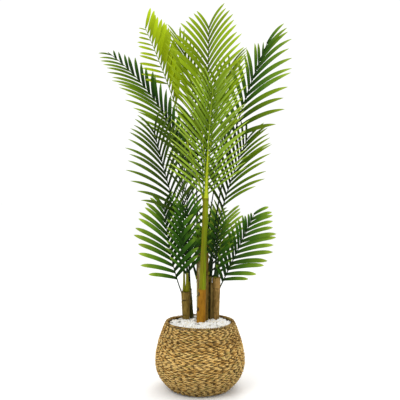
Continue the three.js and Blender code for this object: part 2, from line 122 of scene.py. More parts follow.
# one material and the nodes that paint it
class Paint:
    def __init__(self, name, **fixed):
        self.material = bpy.data.materials.new(name)
        self.material.use_nodes = True
        self.tree = self.material.node_tree
        self.shader = self.tree.nodes["Principled BSDF"]
        for key, value in fixed.items():
            self.shader.inputs[key.replace("_", " ")].default_value = value

    def put(self, socket, value):
        if isinstance(value, Wire):
            self.tree.links.new(value.socket, socket)
        else:
            socket.default_value = value

    def node(self, kind, settings=None, values=None, out=0):
        made = self.tree.nodes.new(kind)
        for key, value in (settings or {}).items():
            if key == "stops":
                ramp = made.color_ramp
                for place, (position, colour) in enumerate(value):
                    stop = ramp.elements[place] if place < 2 else ramp.elements.new(position)
                    stop.position = position
                    stop.color = colour
            else:
                setattr(made, key, value)
        for key, value in (values or {}).items():
            self.put(made.inputs[key], value)
        return Wire(self, made.outputs[out])

    def mix(self, factor, first, second):
        # sockets 6 and 7 and output 2 are the ones for colours
        return self.node("ShaderNodeMix", {"data_type": "RGBA"}, {0: factor, 6: first, 7: second}, out=2)

    def bright(self, colour, factor):
        return self.node("ShaderNodeHueSaturation", values={"Color": colour, "Value": factor})

    def ramp(self, factor, stops):
        return self.node("ShaderNodeValToRGB", {"stops": stops}, {"Fac": factor})

    def places(self, scale=(1.0, 1.0, 1.0)):
        # the piece's own coordinates, output 3, stretched
        coords = self.node("ShaderNodeTexCoord", out=3)
        return self.node("ShaderNodeMapping", values={"Vector": coords, "Scale": scale})

    def noise(self, vector, scale, detail=2.0, roughness=0.5):
        return self.node("ShaderNodeTexNoise", values={
            "Vector": vector, "Scale": scale, "Detail": detail, "Roughness": roughness})

    def flow(self):
        # u round the shape and v along it, from the piece's own map
        flow = self.node("ShaderNodeUVMap", {"uv_map": "flow"})
        parts = self.tree.nodes.new("ShaderNodeSeparateXYZ")
        self.put(parts.inputs[0], flow)
        return Wire(self, parts.outputs[0]), Wire(self, parts.outputs[1])

    def value(self, name):
        return self.node("ShaderNodeAttribute", {"attribute_name": name}, out=2)

    def bump(self, height, strength, distance):
        bumped = self.node("ShaderNodeBump", values={
            "Height": height, "Strength": strength, "Distance": distance})
        self.put(self.shader.inputs["Normal"], bumped)

    def cover(self, colour):
        self.put(self.shader.inputs["Base Color"], colour)
        return self.material


def shade(red, green, blue):
    # a colour as a screen shows it, from 0 to 255, made linear by the sRGB rule
    def linear(part):
        return part / 12.92 if part < 0.04045 else ((part + 0.055) / 1.055) ** 2.4

    return (*[linear(part / 255) for part in (red, green, blue)], 1.0)


def shades(colours):
    return [shade(*colour) for colour in colours]


# many small shapes that become one mesh
class Heap:
    def __init__(self):
        self.points = []
        self.corners = []
        self.sizes = []
        self.maps = []
        self.tones = []
        self.values = {}
        self.count = 0

    def add(self, points, faces, maps=None, tone=0, **values):
        points = np.asarray(points, float).reshape(-1, 3)
        faces = np.asarray(faces, int)
        self.points.append(points)
        self.addFaces(faces + self.count, maps, tone)
        for name, given in values.items():
            self.values.setdefault(name, []).append(np.broadcast_to(given, len(points)).astype(float))
        self.count += len(points)

    def addFaces(self, faces, maps=None, tone=0):
        self.corners.append(faces.ravel())
        self.sizes.append(np.full(len(faces), faces.shape[1]))
        self.maps.append(np.zeros((faces.size, 2)) if maps is None else np.asarray(maps).reshape(-1, 2))
        self.tones.append(np.broadcast_to(tone, len(faces)))

    def addRings(self, rings, tone=0, closed=False, **values):
        # a tube through rings of points that run to the left round its way
        steps, sides = rings.shape[:2]
        middles = rings.mean(1)
        runs = summed(np.linalg.norm(np.diff(middles, axis=0), axis=1))
        spans = steps if closed else steps - 1
        step, side = np.meshgrid(np.arange(spans), np.arange(sides), indexing="ij")
        nextStep = (step + 1) % steps
        nextSide = (side + 1) % sides
        faces = np.stack([step * sides + side, step * sides + nextSide,
                          nextStep * sides + nextSide, nextStep * sides + side], -1).reshape(-1, 4)
        ends = np.append(runs, runs[-1] + np.linalg.norm(middles[0] - middles[-1]))
        low, high = ends[step], ends[step + 1]
        left, right = side / sides, (side + 1) / sides
        maps = np.stack([np.stack([left, low], -1), np.stack([right, low], -1),
                         np.stack([right, high], -1), np.stack([left, high], -1)], 2).reshape(-1, 2)
        start = self.count
        faceTones = np.broadcast_to(np.asarray(tone).reshape(-1, 1), (spans, sides)).ravel()
        self.add(rings, faces, maps, faceTones, **values)
        if not closed:
            firstTone, lastTone = faceTones[0], faceTones[-1]
            self.addFaces(start + np.arange(sides)[::-1][None], tone=firstTone)
            self.addFaces(start + (steps - 1) * sides + np.arange(sides)[None], tone=lastTone)

    def mesh(self, name, sharpFrom):
        mesh = bpy.data.meshes.new(name)
        sizes = np.concatenate(self.sizes)
        mesh.vertices.add(self.count)
        mesh.vertices.foreach_set("co", np.concatenate(self.points).astype(np.float32).ravel())
        mesh.loops.add(int(sizes.sum()))
        mesh.loops.foreach_set("vertex_index", np.concatenate(self.corners).astype(np.int32))
        mesh.polygons.add(len(sizes))
        starts = np.concatenate([[0], np.cumsum(sizes)[:-1]]).astype(np.int32)
        mesh.polygons.foreach_set("loop_start", starts)
        mesh.polygons.foreach_set("material_index", np.concatenate(self.tones).astype(np.int32))
        mesh.polygons.foreach_set("use_smooth", np.ones(len(sizes), bool))
        flow = mesh.uv_layers.new(name="flow")
        flow.data.foreach_set("uv", np.concatenate(self.maps).astype(np.float32).ravel())
        for key, given in self.values.items():
            layer = mesh.attributes.new(key, "FLOAT", "POINT")
            layer.data.foreach_set("value", np.concatenate(given).astype(np.float32))
        mesh.update(calc_edges=True)
        if sharpFrom:
            mesh.set_sharp_from_angle(angle=math.radians(sharpFrom))
        return mesh


def addPiece(name, shape, finishes, stands=(), sharpFrom=None):
    mesh = shape.mesh(name, sharpFrom) if isinstance(shape, Heap) else meshOf(shape, name)
    piece = bpy.data.objects.new(name, mesh)
    bpy.context.scene.collection.objects.link(piece)
    for finish in finishes:
        mesh.materials.append(finish)
    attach(piece, "root")
    if stands:
        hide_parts(*stands)


weldGap = 0.01 * mm


def spunShape(profile, steps):
    # a closed round shape from (radius, height) pairs that start and end on the axis
    bm = bmesh.new()
    chain = [bm.verts.new((radius, 0, height)) for radius, height in profile]
    links = [bm.edges.new(pair) for pair in zip(chain, chain[1:])]
    bmesh.ops.spin(bm, geom=chain + links, cent=(0, 0, 0), axis=(0, 0, 1), angle=turn,
                   steps=steps, use_merge=True)
    bmesh.ops.remove_doubles(bm, verts=bm.verts, dist=weldGap)
    bmesh.ops.recalc_face_normals(bm, faces=bm.faces)
    for face in bm.faces:
        face.smooth = True
    return bm


def meshOf(bm, name):
    mesh = bpy.data.meshes.new(name)
    bm.to_mesh(mesh)
    bm.free()
    return mesh


def heaped(*adders):
    heap = Heap()
    for add in adders:
        add(heap)
    return heap


def unit(rows):
    return rows / np.linalg.norm(rows, axis=-1, keepdims=True)


def summed(moves):
    # from no move at all up to all of them
    return np.concatenate([np.zeros_like(moves[:1]), np.cumsum(moves, 0)])


def middlesOf(values):
    return (values[1:] + values[:-1]) / 2


def anglesOf(sides):
    return np.arange(sides) / sides * turn


# numbers that throw neighbouring seeds far apart
spreading = {"step": 12.9898, "start": 4.1414, "scale": 43758.5453, "seedStep": 57.0}


def scatter(number):
    # a value from 0 to 1 that looks random and is the same for the same number each time
    wave = np.sin(np.asarray(number, float) * spreading["step"] + spreading["start"]) * spreading["scale"]
    return wave - np.floor(wave)


def drift(share, count, seed):
    # a smooth random line from 0 to 1 with count swings that ends as it starts
    along = np.asarray(share) * count
    whole = np.floor(along)
    part = along - whole
    part = part * part * (3 - 2 * part)
    shift = seed * spreading["seedStep"]
    return scatter(whole % count + shift) * (1 - part) + scatter((whole + 1) % count + shift) * part


def varied(share, seed, settings):
    # a random line about 0, set by its count of swings, its own place in the seeds and its span
    count, place, span = settings
    return span * (drift(share, count, seed + place) - 0.5)


def waysAt(angle):
    # the way outwards at an angle, and the way to its left
    return np.array([math.cos(angle), math.sin(angle), 0]), np.array([-math.sin(angle), math.cos(angle), 0])


def tube(middles, first, second, radii, across, above):
    # rings round a line of middles, from offsets along two ways
    first, second = (np.reshape(way, (-1, 1, 3)) for way in (first, second))
    reach = radii[:, None, None]
    return middles[:, None] + first * (reach * across[:, None]) + second * (reach * above[:, None])


# floor
floorBm = bmesh.new()
bmesh.ops.create_grid(floorBm, x_segments=1, y_segments=1, size=studio["floorWidth"] / 2)
floor = bpy.data.objects.new("floor", meshOf(floorBm, "floor"))
floorPaint = Paint("floorPaint", Roughness=studio["floorRoughness"])
floor.data.materials.append(floorPaint.cover(studio["floorColour"]))
bpy.context.scene.collection.objects.link(floor)
print("studio ready")

# basket: cords woven in and out round upright stakes, row over row
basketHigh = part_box("basket")[1]
basket = {
    "height": basketHigh.z,
    "footRadius": 119 * mm,
    "bellyRadius": basketHigh.x,
    "bellyHeight": 117 * mm,
    "rimRadius": 140 * mm,
    "lowerCurve": 2.3,
    "upperCurve": 1.6,
    "depth": 4.4 * mm,  # from the outside to the middle of the weave
    "curveSteps": 400,
}
stake = {
    "count": 70, "radius": 2.0 * mm, "low": 7 * mm, "belowRim": 9 * mm, "steps": 30, "sides": 6,
    # a lift of 0.2 paints the stakes in the weave's shade
    "lift": 0.2, "tintSeed": 7,
}
# the last six say how a cord varies on its way round, as varied() takes it
cord = {
    "firstRow": 5.2 * mm,
    "belowRim": 10.5 * mm,
    "rowGap": 4.8 * mm,
    "stepsPerStake": 5,
    "sides": 6,
    "tall": 2.45 * mm,
    "thick": 2.5 * mm,
    "swell": 0.12,  # how much taller it is where it passes outside a stake
    "sway": 2.3 * mm,  # how far it swings out and in
    # painted shade: a cord sunk this far in is painted in full shade
    "darkAt": 8 * mm,
    "seedStep": 7,
    "rowShift": 2.4,
    "rowTint": 0.34,
    "rowTintSeed": 9,
    "phase": (23, 1, 3.6),
    "level": (34, 0, 1.7 * mm),
    "size": (45, 3, 0.34),
    "reach": (38, 4, 0.6),
    "tintBroad": (13, 5, 0.22),
    "tintFine": (71, 6, 0.44),
}


def basketRadius(height):
    height = np.asarray(height, float)
    below = np.clip(1 - height / basket["bellyHeight"], 0, 1)
    above = np.clip((height - basket["bellyHeight"]) / (basket["height"] - basket["bellyHeight"]), 0, 1)
    lower = (basket["bellyRadius"] - basket["footRadius"]) * below ** basket["lowerCurve"]
    upper = (basket["bellyRadius"] - basket["rimRadius"]) * above ** basket["upperCurve"]
    return basket["bellyRadius"] - lower - upper


def wallSteps(low, high, gap):
    # heights that lie evenly along the wall's curve, each with its slope
    fine = np.linspace(low, high, basket["curveSteps"])
    radii = basketRadius(fine)
    runs = summed(np.hypot(np.diff(fine), np.diff(radii)))
    count = int(round(runs[-1] / gap)) + 1
    heights = np.interp(np.linspace(0, runs[-1], count), runs, fine)
    slope = (basketRadius(heights + mm) - basketRadius(heights - mm)) / (2 * mm)
    return heights, np.arctan(slope)


def aroundRings(angle, outward, upward):
    # rings of points that follow an angle round the basket's middle, each turned to face outwards
    rings = np.stack([outward * np.cos(angle)[:, None], outward * np.sin(angle)[:, None], upward], -1)
    return rings[:, ::-1]


def section(sides, thick, tall):
    # offsets outwards and upwards of an oval cord
    around = anglesOf(sides)
    return np.cos(around) * thick[:, None], np.sin(around) * tall[:, None]


def weaveRow(heap, number, height, tilt):
    stepCount = stake["count"] * cord["stepsPerStake"]
    share = np.arange(stepCount) / stepCount
    seed = number * cord["seedStep"]
    phase = share * turn * stake["count"] / 2 + math.pi * number
    phase += cord["rowShift"] * (scatter(number) - 0.5) + varied(share, seed, cord["phase"])
    outside = np.cos(phase)
    size = 1 + varied(share, seed, cord["size"])
    reach = cord["sway"] * (1 + varied(share, seed, cord["reach"]))
    tall = cord["tall"] * size * (1 + cord["swell"] * outside)
    out, up = section(cord["sides"], cord["thick"] * size, tall)
    out = out + (reach * outside - basket["depth"])[:, None]
    up = up + varied(share, seed, cord["level"])[:, None]
    outward = float(basketRadius(height)) + out * math.cos(tilt) + up * math.sin(tilt)
    upward = np.maximum(height - out * math.sin(tilt) + up * math.cos(tilt), 0.0)
    # lift runs from 0 where the cord is sunk to 1 where it stands out; the seagrass paint turns it into
    # painted shade and painted highlight
    lift = np.clip(1 + out / cord["darkAt"], 0, 1)
    tint = 0.5 + cord["rowTint"] * (scatter(seed + cord["rowTintSeed"]) - 0.5)
    tint = tint + varied(share, seed, cord["tintBroad"]) + varied(share, seed, cord["tintFine"])
    heap.addRings(aroundRings(share * turn, outward, upward), closed=True,
                  lift=lift[:, ::-1].ravel(), tint=np.repeat(tint, cord["sides"]))


def addStakes(heap):
    heights = np.linspace(stake["low"], basket["height"] - stake["belowRim"], stake["steps"])
    radii = np.full(stake["steps"], stake["radius"])
    around = anglesOf(stake["sides"])
    for number in range(stake["count"]):
        outward, sideways = waysAt(number / stake["count"] * turn)
        middles = outward * (basketRadius(heights) - basket["depth"])[:, None]
        middles[:, 2] = heights
        rings = tube(middles, outward, sideways, radii, np.cos(around), np.sin(around))
        heap.addRings(rings, lift=stake["lift"], tint=scatter(number + stake["tintSeed"]))


def addRim(heap):
    # two cords laid round each other along the top edge
    rim = {
        "radius": 134.6 * mm, "below": 6.4 * mm, "apart": 3.2 * mm, "turns": 58, "stepsPerTurn": 9,
        # a lift of 0.55 gives the rim part of the weave's painted shade
        "thick": 3.1 * mm, "sides": 8, "lift": 0.55, "size": (130, 400, 0.3), "tint": (70, 420, 0.9),
        "tintMiddle": 0.45,
    }
    stepCount = rim["turns"] * rim["stepsPerTurn"]
    share = np.arange(stepCount) / stepCount
    for strand in (0, 1):
        spin = share * turn * rim["turns"] + strand * math.pi
        outset = rim["radius"] + rim["apart"] * np.cos(spin)
        level = basket["height"] - rim["below"] + rim["apart"] * np.sin(spin)
        size = rim["thick"] * (1 + varied(share, strand, rim["size"]))
        out, up = section(rim["sides"], size, size)
        rings = aroundRings(share * turn, outset[:, None] + out, level[:, None] + up)
        tint = rim["tintMiddle"] + varied(share, strand, rim["tint"])
        heap.addRings(rings, closed=True, lift=rim["lift"], tint=np.repeat(tint, rim["sides"]))


def addUnderside(heap):
    # one flat cord coiled from the middle out to the foot
    coil = {
        "first": 6 * mm, "last": 112 * mm, "gap": 10.6 * mm, "half": 4.6 * mm, "broad": 1.15,
        # a lift of 0.7 gives the coiled underside part of the weave's painted shade
        "step": 7 * mm, "sides": 8, "raised": 0.4 * mm, "ripple": 0.1, "rippleRun": 5 * mm, "lift": 0.7,
        "tint": (90, 431, 1.0),
    }
    turns = (coil["last"] - coil["first"]) / coil["gap"]
    angles = [0.0]
    while angles[-1] < turns * turn:
        radius = coil["first"] + coil["gap"] * angles[-1] / turn
        angles.append(angles[-1] + coil["step"] / radius)
    angle = np.array(angles)
    radius = coil["first"] + coil["gap"] * angle / turn
    size = coil["half"] * (1 + coil["ripple"] * np.cos(angle * radius / coil["rippleRun"]))
    out, up = section(coil["sides"], size * coil["broad"], size)
    upward = np.maximum(coil["half"] + coil["raised"] + up, 0.0)
    tint = 0.5 + varied(angle / angle[-1], 0, coil["tint"])
    heap.addRings(aroundRings(angle, radius[:, None] + out, upward), lift=coil["lift"],
                  tint=np.repeat(tint, coil["sides"]))


# from lift to fibre: the light that is always there and what the wire of that name adds; lift paints shade
# on the sunk parts of the weave and a highlight on its outer parts, and foot paints shade towards the floor
seagrassLook = {
    "ramp": (
        (0.18, (112, 80, 36)), (0.36, (156, 118, 56)), (0.5, (186, 148, 80)),
        (0.64, (212, 178, 112)), (0.78, (166, 144, 78)), (0.92, (136, 94, 48)),
    ),
    # painted shade: the dark brown of the sunk parts of the cords
    "deep": (106, 68, 20),
    "rough": 0.78,
    "gloss": 0.15,
    "patchScale": 22.0,
    "fibreStretch": 2.5,
    "fibreGrain": (260.0, 3.0, 0.6),  # scale, detail and roughness
    "tintPart": 0.72,
    "patchPart": 0.42,
    "strands": 2,
    "strandRun": 11 * mm,
    "liftFrom": 0.2,
    "paintedShadeTo": 0.5,
    # painted shadow: the weave is darker from this height down to its foot on the floor
    "floorShadeTop": 0.1,
    "bandHeights": (0.105, 0.15, 0.175, 0.215),  # where the lighter band starts, is full, fades and ends
    "strandBump": 0.6,
    "bump": (0.5, 1.2 * mm),
    "lift": (0.34, 0.72),
    # foot: how much the painted shadow near the floor takes from the light
    "foot": (0.7, 0.3),
    "band": (0.92, 0.18),
    "strand": (0.82, 0.18),
    "fibre": (0.45, 1.1),
    "brighter": 1.2,
}


def seagrassFinish():
    look = seagrassLook
    paint = Paint("seagrass", Roughness=look["rough"], Specular_IOR_Level=look["gloss"])
    around, along = paint.flow()
    tint = paint.value("tint")
    lift = paint.value("lift")
    places = paint.places()
    height = paint.node("ShaderNodeSeparateXYZ", values={0: places}, out=2)
    patches = paint.noise(places, look["patchScale"])
    fibre = paint.noise(paint.places((1.0, 1.0, look["fibreStretch"])), *look["fibreGrain"])
    strand = ((around * look["strands"] + along * (1 / look["strandRun"])) * turn).sine()
    stops = [(place, shade(*colour)) for place, colour in look["ramp"]]
    colour = paint.ramp(tint * look["tintPart"] + patches * look["patchPart"], stops)
    bandStart, bandFull, bandFade, bandEnd = look["bandHeights"]
    wires = {
        "lift": lift.between(look["liftFrom"], 1.0),
        # painted shadow near the floor
        "foot": height.between(0.0, look["floorShadeTop"]),
        "band": height.between(bandStart, bandFull) * (1.0 - height.between(bandFade, bandEnd)),
        "strand": strand,
        "fibre": fibre,
    }
    # the colour's brightness: painted shade and painted highlight from lift, painted shade from foot
    light = look["brighter"]
    for name, wire in wires.items():
        light = light * (look[name][0] + look[name][1] * wire)
    # painted shade: the sunk parts of the cords turn to the deep brown
    colour = paint.mix(lift.between(0.0, look["paintedShadeTo"]), shade(*look["deep"]), colour)
    paint.bump(strand * look["strandBump"] + fibre, *look["bump"])
    return paint.cover(paint.bright(colour, light))


seagrass = seagrassFinish()
weaveHeaps = {"lower": Heap(), "upper": Heap()}
rowHeights, rowTilts = wallSteps(cord["firstRow"], basket["height"] - cord["belowRim"], cord["rowGap"])
for rowNumber, (rowHeight, rowTilt) in enumerate(zip(rowHeights, rowTilts)):
    weavePart = "lower" if rowNumber < len(rowHeights) / 2 else "upper"
    weaveRow(weaveHeaps[weavePart], rowNumber, rowHeight, rowTilt)
for weavePart, weaveHeap in weaveHeaps.items():
    addPiece("basket_weave_" + weavePart, weaveHeap, [seagrass], ["basket"])
addPiece("basket_stakes", heaped(addStakes, addUnderside), [seagrass])
addPiece("basket_rim", heaped(addRim), [seagrass])
print("basket woven in", len(rowHeights), "rows")

# dark filling right behind the weave
filling = {
    "inset": 12 * mm, "low": 8 * mm, "high": 246 * mm, "rings": 22, "steps": 64,
    "tints": ((28, 18, 9), (52, 36, 18)), "grain": {"scale": 60.0, "roughness": 0.85, "depth": 0.6 * mm},
}
roughLook = {"detail": 4.0, "uneven": 0.6, "bump": 0.6, "blend": (0.35, 0.65)}


def fillingShape():
    heights = np.linspace(filling["low"], filling["high"], filling["rings"])
    side = [(float(basketRadius(height)) - filling["inset"], float(height)) for height in heights]
    return spunShape([(0, filling["low"]), *side, (0, filling["high"])], filling["steps"])


def roughFinish(name, tints, scale, roughness, depth):
    # a matt grain between two colours
    paint = Paint(name, Roughness=roughness)
    grain = paint.noise(paint.places(), scale, roughLook["detail"], roughLook["uneven"])
    paint.bump(grain, roughLook["bump"], depth)
    return paint.cover(paint.mix(grain.between(*roughLook["blend"]), *shades(tints)))


fillingPaint = roughFinish("filling", filling["tints"], **filling["grain"])
addPiece("pot_filling_block", fillingShape(), [fillingPaint], ["pot_filling"])

# canes: the same feet, tops and girths as the solids, with bark on them
canes = {
    "front": {"foot": (3, 0), "top": (9, 0), "height": 398, "girth": (19, 15.5)},
    "mid_left": {"foot": (-2, 62), "top": (-2, 65), "height": 575, "girth": (13, 11)},
    "mid_right": {"foot": (21, 38), "top": (24, 42), "height": 575, "girth": (13, 11)},
    "left": {"foot": (-58, 60), "top": (-59, 60), "height": 378, "girth": (13.5, 17.5)},
    "left_back": {"foot": (-31, 80), "top": (-45, 88), "height": 388, "girth": (8, 7.5)},
    "right": {"foot": (68, 58), "top": (67.5, 58), "height": 437, "girth": (10, 15)},
    "right_back": {"foot": (44, 62), "top": (40, 72), "height": 418, "girth": (8.5, 8.5)},
}
bark = {
    "low": 236 * mm,
    "flare": 1.14,
    "flareHeight": 34 * mm,
    "steps": 40,
    "ringGap": 3.2 * mm,
    "broad": {"across": 2.2, "along": 9.0, "size": 0.9, "seed": (7, 0, 0)},
    "fine": {"across": 6.0, "along": 22.0, "size": 0.7, "seed": (0, 5, 0)},
    # how much painted shade the sunk fine furrows get
    "furrowShade": 1.2,
    "furthest": 2.4 * mm,
    "lip": 1.6 * mm,
    "cup": (0.5 * mm, 5 * mm, 6 * mm),  # how deep the top is inside its lip, by the wall and in its middle
    "raggedFrom": 2 * mm,
    "ragged": 5 * mm,
    "ragAcross": 2.4,
    "ragSeed": 3,
    "worn": 1.5 * mm,
}
leafScar = {
    "wave": 3 * mm, "tall": 2.4 * mm, "deep": 1.3 * mm, "edge": 0.7 * mm, "edgeAway": 2.2, "soft": 0.7,
    "way": 200, "waySway": 45, "least": 0.35, "seedStep": 3,
}
notchLook = {"tall": 8 * mm, "wide": 0.4, "deep": 1.6 * mm, "dark": 2}
# heights of the leaf scars, heights and ways of the notches, the depth of the furrows in millimetres
# and how much thicker the bark has grown
barkLooks = {
    "front": {"scars": (), "notches": ((0.377, 207), (0.316, 210)), "furrow": 0.5, "paint": "amber"},
    "mid_left": {"scars": (0.3, 0.36, 0.42, 0.48, 0.54), "furrow": 0.5, "paint": "tan"},
    "mid_right": {"scars": (0.29, 0.35, 0.41, 0.47, 0.53), "furrow": 0.7, "paint": "umber"},
    "left": {"scars": (0.28, 0.342), "furrow": 1.1, "grown": 1.1, "paint": "olive"},
    "left_back": {"scars": (0.3, 0.35), "furrow": 0.7, "paint": "moss"},
    "right": {"scars": (0.29, 0.34, 0.39), "furrow": 1.4, "grown": 1.12, "paint": "tawny"},
    "right_back": {"scars": (0.3, 0.36), "furrow": 0.7, "grown": 1.15, "paint": "moss"},
}


def middleOf(stem, share):
    # the middle of a cane or of the shaft, in metres, at a share of its height
    return [(low + (high - low) * share) * mm for low, high in zip(stem["foot"], stem["top"])]


def caneAt(name, height):
    # the middle of a cane at a height, and its radius there
    stem = canes[name]
    share = (height - bark["low"]) / (stem["height"] * mm - bark["low"])
    radius = (stem["girth"][0] + (stem["girth"][1] - stem["girth"][0]) * share) * mm
    if height < bark["low"] + bark["flareHeight"]:
        flared = 1 - (height - bark["low"]) / bark["flareHeight"]
        radius *= 1 + (bark["flare"] - 1) * flared
    return Vector((*middleOf(stem, share), height)), radius


def ringNoise(angle, level, across=1.0, along=1.0, shift=(0, 0, 0)):
    # noise that joins up round a cane
    spot = Vector((math.cos(angle) * across, math.sin(angle) * across, level * along))
    return noise.noise(spot + Vector(shift))


def furrows(grain, angle, height, seed):
    shift = [seed * step for step in grain["seed"]]
    return ringNoise(angle, height, grain["across"], grain["along"], shift)


def barkRelief(name, angle, height, seed):
    # how far the bark stands out, and how dark it is there: painted shade in its sunk fine furrows, and its
    # darker scars and notches
    looks = barkLooks[name]
    broad = furrows(bark["broad"], angle, height, seed)
    fine = furrows(bark["fine"], angle, height, seed)
    out = looks["furrow"] * mm * (bark["broad"]["size"] * broad + bark["fine"]["size"] * fine)
    # painted shade in the sunk fine furrows
    dark = max(0.0, -fine * bark["furrowShade"])
    for number, scar in enumerate(looks["scars"]):
        wave = leafScar["wave"] * ringNoise(angle, number * leafScar["seedStep"] + seed)
        off = (height - scar - wave) / leafScar["tall"]
        way = math.radians(leafScar["way"] + leafScar["waySway"] * noise.noise(Vector((number, seed, 0))))
        side = leafScar["least"] + (1 - leafScar["least"]) * max(0.0, math.cos(angle - way))
        out -= leafScar["deep"] * side * math.exp(-off * off)
        out += leafScar["edge"] * math.exp(-(off + leafScar["edgeAway"]) ** 2)
        dark += side * math.exp(-off * off * leafScar["soft"])
    for notch, way in looks.get("notches", ()):
        apart = (angle - math.radians(way) + math.pi) % turn - math.pi
        blot = math.exp(-((height - notch) / notchLook["tall"]) ** 2 - (apart / notchLook["wide"]) ** 2)
        out -= notchLook["deep"] * blot
        dark += notchLook["dark"] * blot
    return out, min(dark, 1.0)


def caneShape(name, seed):
    stem = canes[name]
    low, high = bark["low"], stem["height"] * mm
    count = int((high - low) / bark["ringGap"])
    heights = [low + (high - low) * place / count for place in range(count + 1)]
    topRadius = caneAt(name, high)[1]
    side = [(caneAt(name, height)[1], height) for height in heights]
    lipDepth, wallDepth, middleDepth = bark["cup"]
    cup = [(topRadius - bark["lip"], high - lipDepth), (topRadius - 2 * bark["lip"], high - wallDepth)]
    bm = spunShape([(0, low), *side, *cup, (0, high - middleDepth)], bark["steps"])
    # how dark each point is: its scars and notches, and the painted shade of the furrows
    scarLayer = bm.verts.layers.float.new("scar")
    for vert in bm.verts:
        radius = math.hypot(vert.co.x, vert.co.y)
        angle = math.atan2(vert.co.y, vert.co.x)
        height = vert.co.z
        out, dark = barkRelief(name, angle, height, seed)
        out = min(out + radius * (barkLooks[name].get("grown", 1) - 1), bark["furthest"])
        inCup = radius <= topRadius - 1.5 * bark["lip"] and height >= high - mm
        if radius > mm and not inCup:
            vert.co.x += out * math.cos(angle)
            vert.co.y += out * math.sin(angle)
        if height > high - bark["raggedFrom"] and radius > mm:
            rag = ringNoise(angle, seed * bark["ragSeed"], bark["ragAcross"])
            vert.co.z += bark["ragged"] * rag - bark["worn"]
        middle = caneAt(name, height)[0]
        vert.co.x += middle.x
        vert.co.y += middle.y
        vert[scarLayer] = dark
    return bm


# lines and patches as stretch, scale, detail and roughness, and where the last colour starts and ends
grains = {
    "bark": {
        "rough": 0.72, "gloss": 0.15, "lines": (0.09, 420.0, 3.0, 0.65), "patches": (0.45, 55.0, 3.0, 0.5),
        "parts": (0.5, 0.6), "blend": (0.38, 0.72), "mark": (0.25, 0.95), "markMost": 1.0,
        "bump": (0.6, 0.8 * mm),
    },
    "sheath": {
        "rough": 0.48, "gloss": 0.1, "lines": (0.03, 330.0, 3.0, 0.6), "patches": (0.3, 26.0, 2.0, 0.5),
        "parts": (0.5, 0.6), "blend": (0.35, 0.75), "mark": (0.62, 0.9), "markMost": 0.5,
        "bump": (0.35, 0.5 * mm),
    },
}


def grainedFinish(name, kind, colours):
    # two colours in lines and patches, and a third where the bark is dark, at its scars and notches and in
    # the painted shade of its furrows, or on patches of a sheath
    look = grains[kind]
    low, high, last = shades(colours)
    paint = Paint(name, Roughness=look["rough"], Specular_IOR_Level=look["gloss"])
    lines, patches = (
        paint.noise(paint.places((1.0, 1.0, stretch)), *grain)
        for stretch, *grain in (look["lines"], look["patches"])
    )
    linePart, patchPart = look["parts"]
    mark = paint.value("scar") if kind == "bark" else patches
    colour = paint.mix((lines * linePart + patches * patchPart).between(*look["blend"]), low, high)
    colour = paint.mix(mark.between(*look["mark"]) * look["markMost"], colour, last)
    paint.bump(lines, *look["bump"])
    return paint.cover(colour)


barkTints = {
    "amber": ((122, 80, 2), (158, 112, 20), (48, 26, 2)),
    "tan": ((126, 114, 62), (164, 152, 104), (78, 64, 32)),
    "umber": ((72, 56, 6), (112, 88, 26), (32, 24, 2)),
    "olive": ((86, 68, 18), (134, 112, 52), (40, 30, 4)),
    "tawny": ((84, 66, 20), (158, 124, 68), (36, 28, 4)),
    "moss": ((38, 42, 6), (78, 72, 22), (16, 20, 2)),
}
barkPaints = {name: grainedFinish("bark_" + name, "bark", tints) for name, tints in barkTints.items()}
for caneNumber, caneName in enumerate(canes, 1):
    cane = caneShape(caneName, caneNumber)
    barkPaint = barkPaints[barkLooks[caneName]["paint"]]
    addPiece("cane_" + caneName + "_bark", cane, [barkPaint], ["cane_" + caneName])
print("canes ready")

# husk strips that wrap the side canes, loose dry fibres and a torn sheath between the right canes
huskSeed = 11
huskTints = ((98, 78, 28), (148, 124, 66), (44, 32, 6))
strip = {
    "counts": {"left": 13, "right": 16, "left_back": 7, "right_back": 8, "mid_left": 8, "mid_right": 10},
    "width": (3.0 * mm, 7.5 * mm),
    "thick": 0.45 * mm,
    "steps": 14,
    "aboveFoot": 15 * mm,
    "belowTop": 60 * mm,
    "length": (60 * mm, 150 * mm),
    "overTop": (-4 * mm, 16 * mm),
    "lean": 0.5,
    "looseFrom": 20 * mm,
    "curl": 1.5 * mm,
    "looseCurl": 5 * mm,
    "curlFrom": 0.6,
    "curlRise": 6,
    "raised": 0.7 * mm,
    "footWidth": (0.25, 4),
    "tipWidth": (0.15, 3.2),
    "scar": (0, 0.5),
}
fibre = {
    "counts": {"left": 26, "right": 16, "left_back": 4, "right_back": 6, "front": 3},
    "length": (18 * mm, 48 * mm),
    "radius": 0.42 * mm,
    "steps": 7,
    "belowTop": (75 * mm, 4 * mm),
    "bend": 0.8,
    "fall": (-1.6, 0.9),
    "outward": 0.5,
    "rise": (0.1, 1.1),
    "askew": (0.3, 0.2, 0.93),  # no fibre points this way
    "thinner": 0.6,
    "turning": 0.28,
    "scar": (0.1, 0.6),
}
frayed = {
    "left": 45.5 * mm, "right": 55 * mm, "deep": 50 * mm, "low": 250 * mm, "high": 446 * mm,
    "sway": 1.6 * mm, "swayAt": (0, 0.35, 0.7, 1), "shift": 3 * mm, "tall": (0.72, 1.0),
    "half": (2 * mm, 3.6 * mm), "tipWidth": (0.3, 5), "count": 6, "steps": 16, "scar": (0.3, 0.8),
}


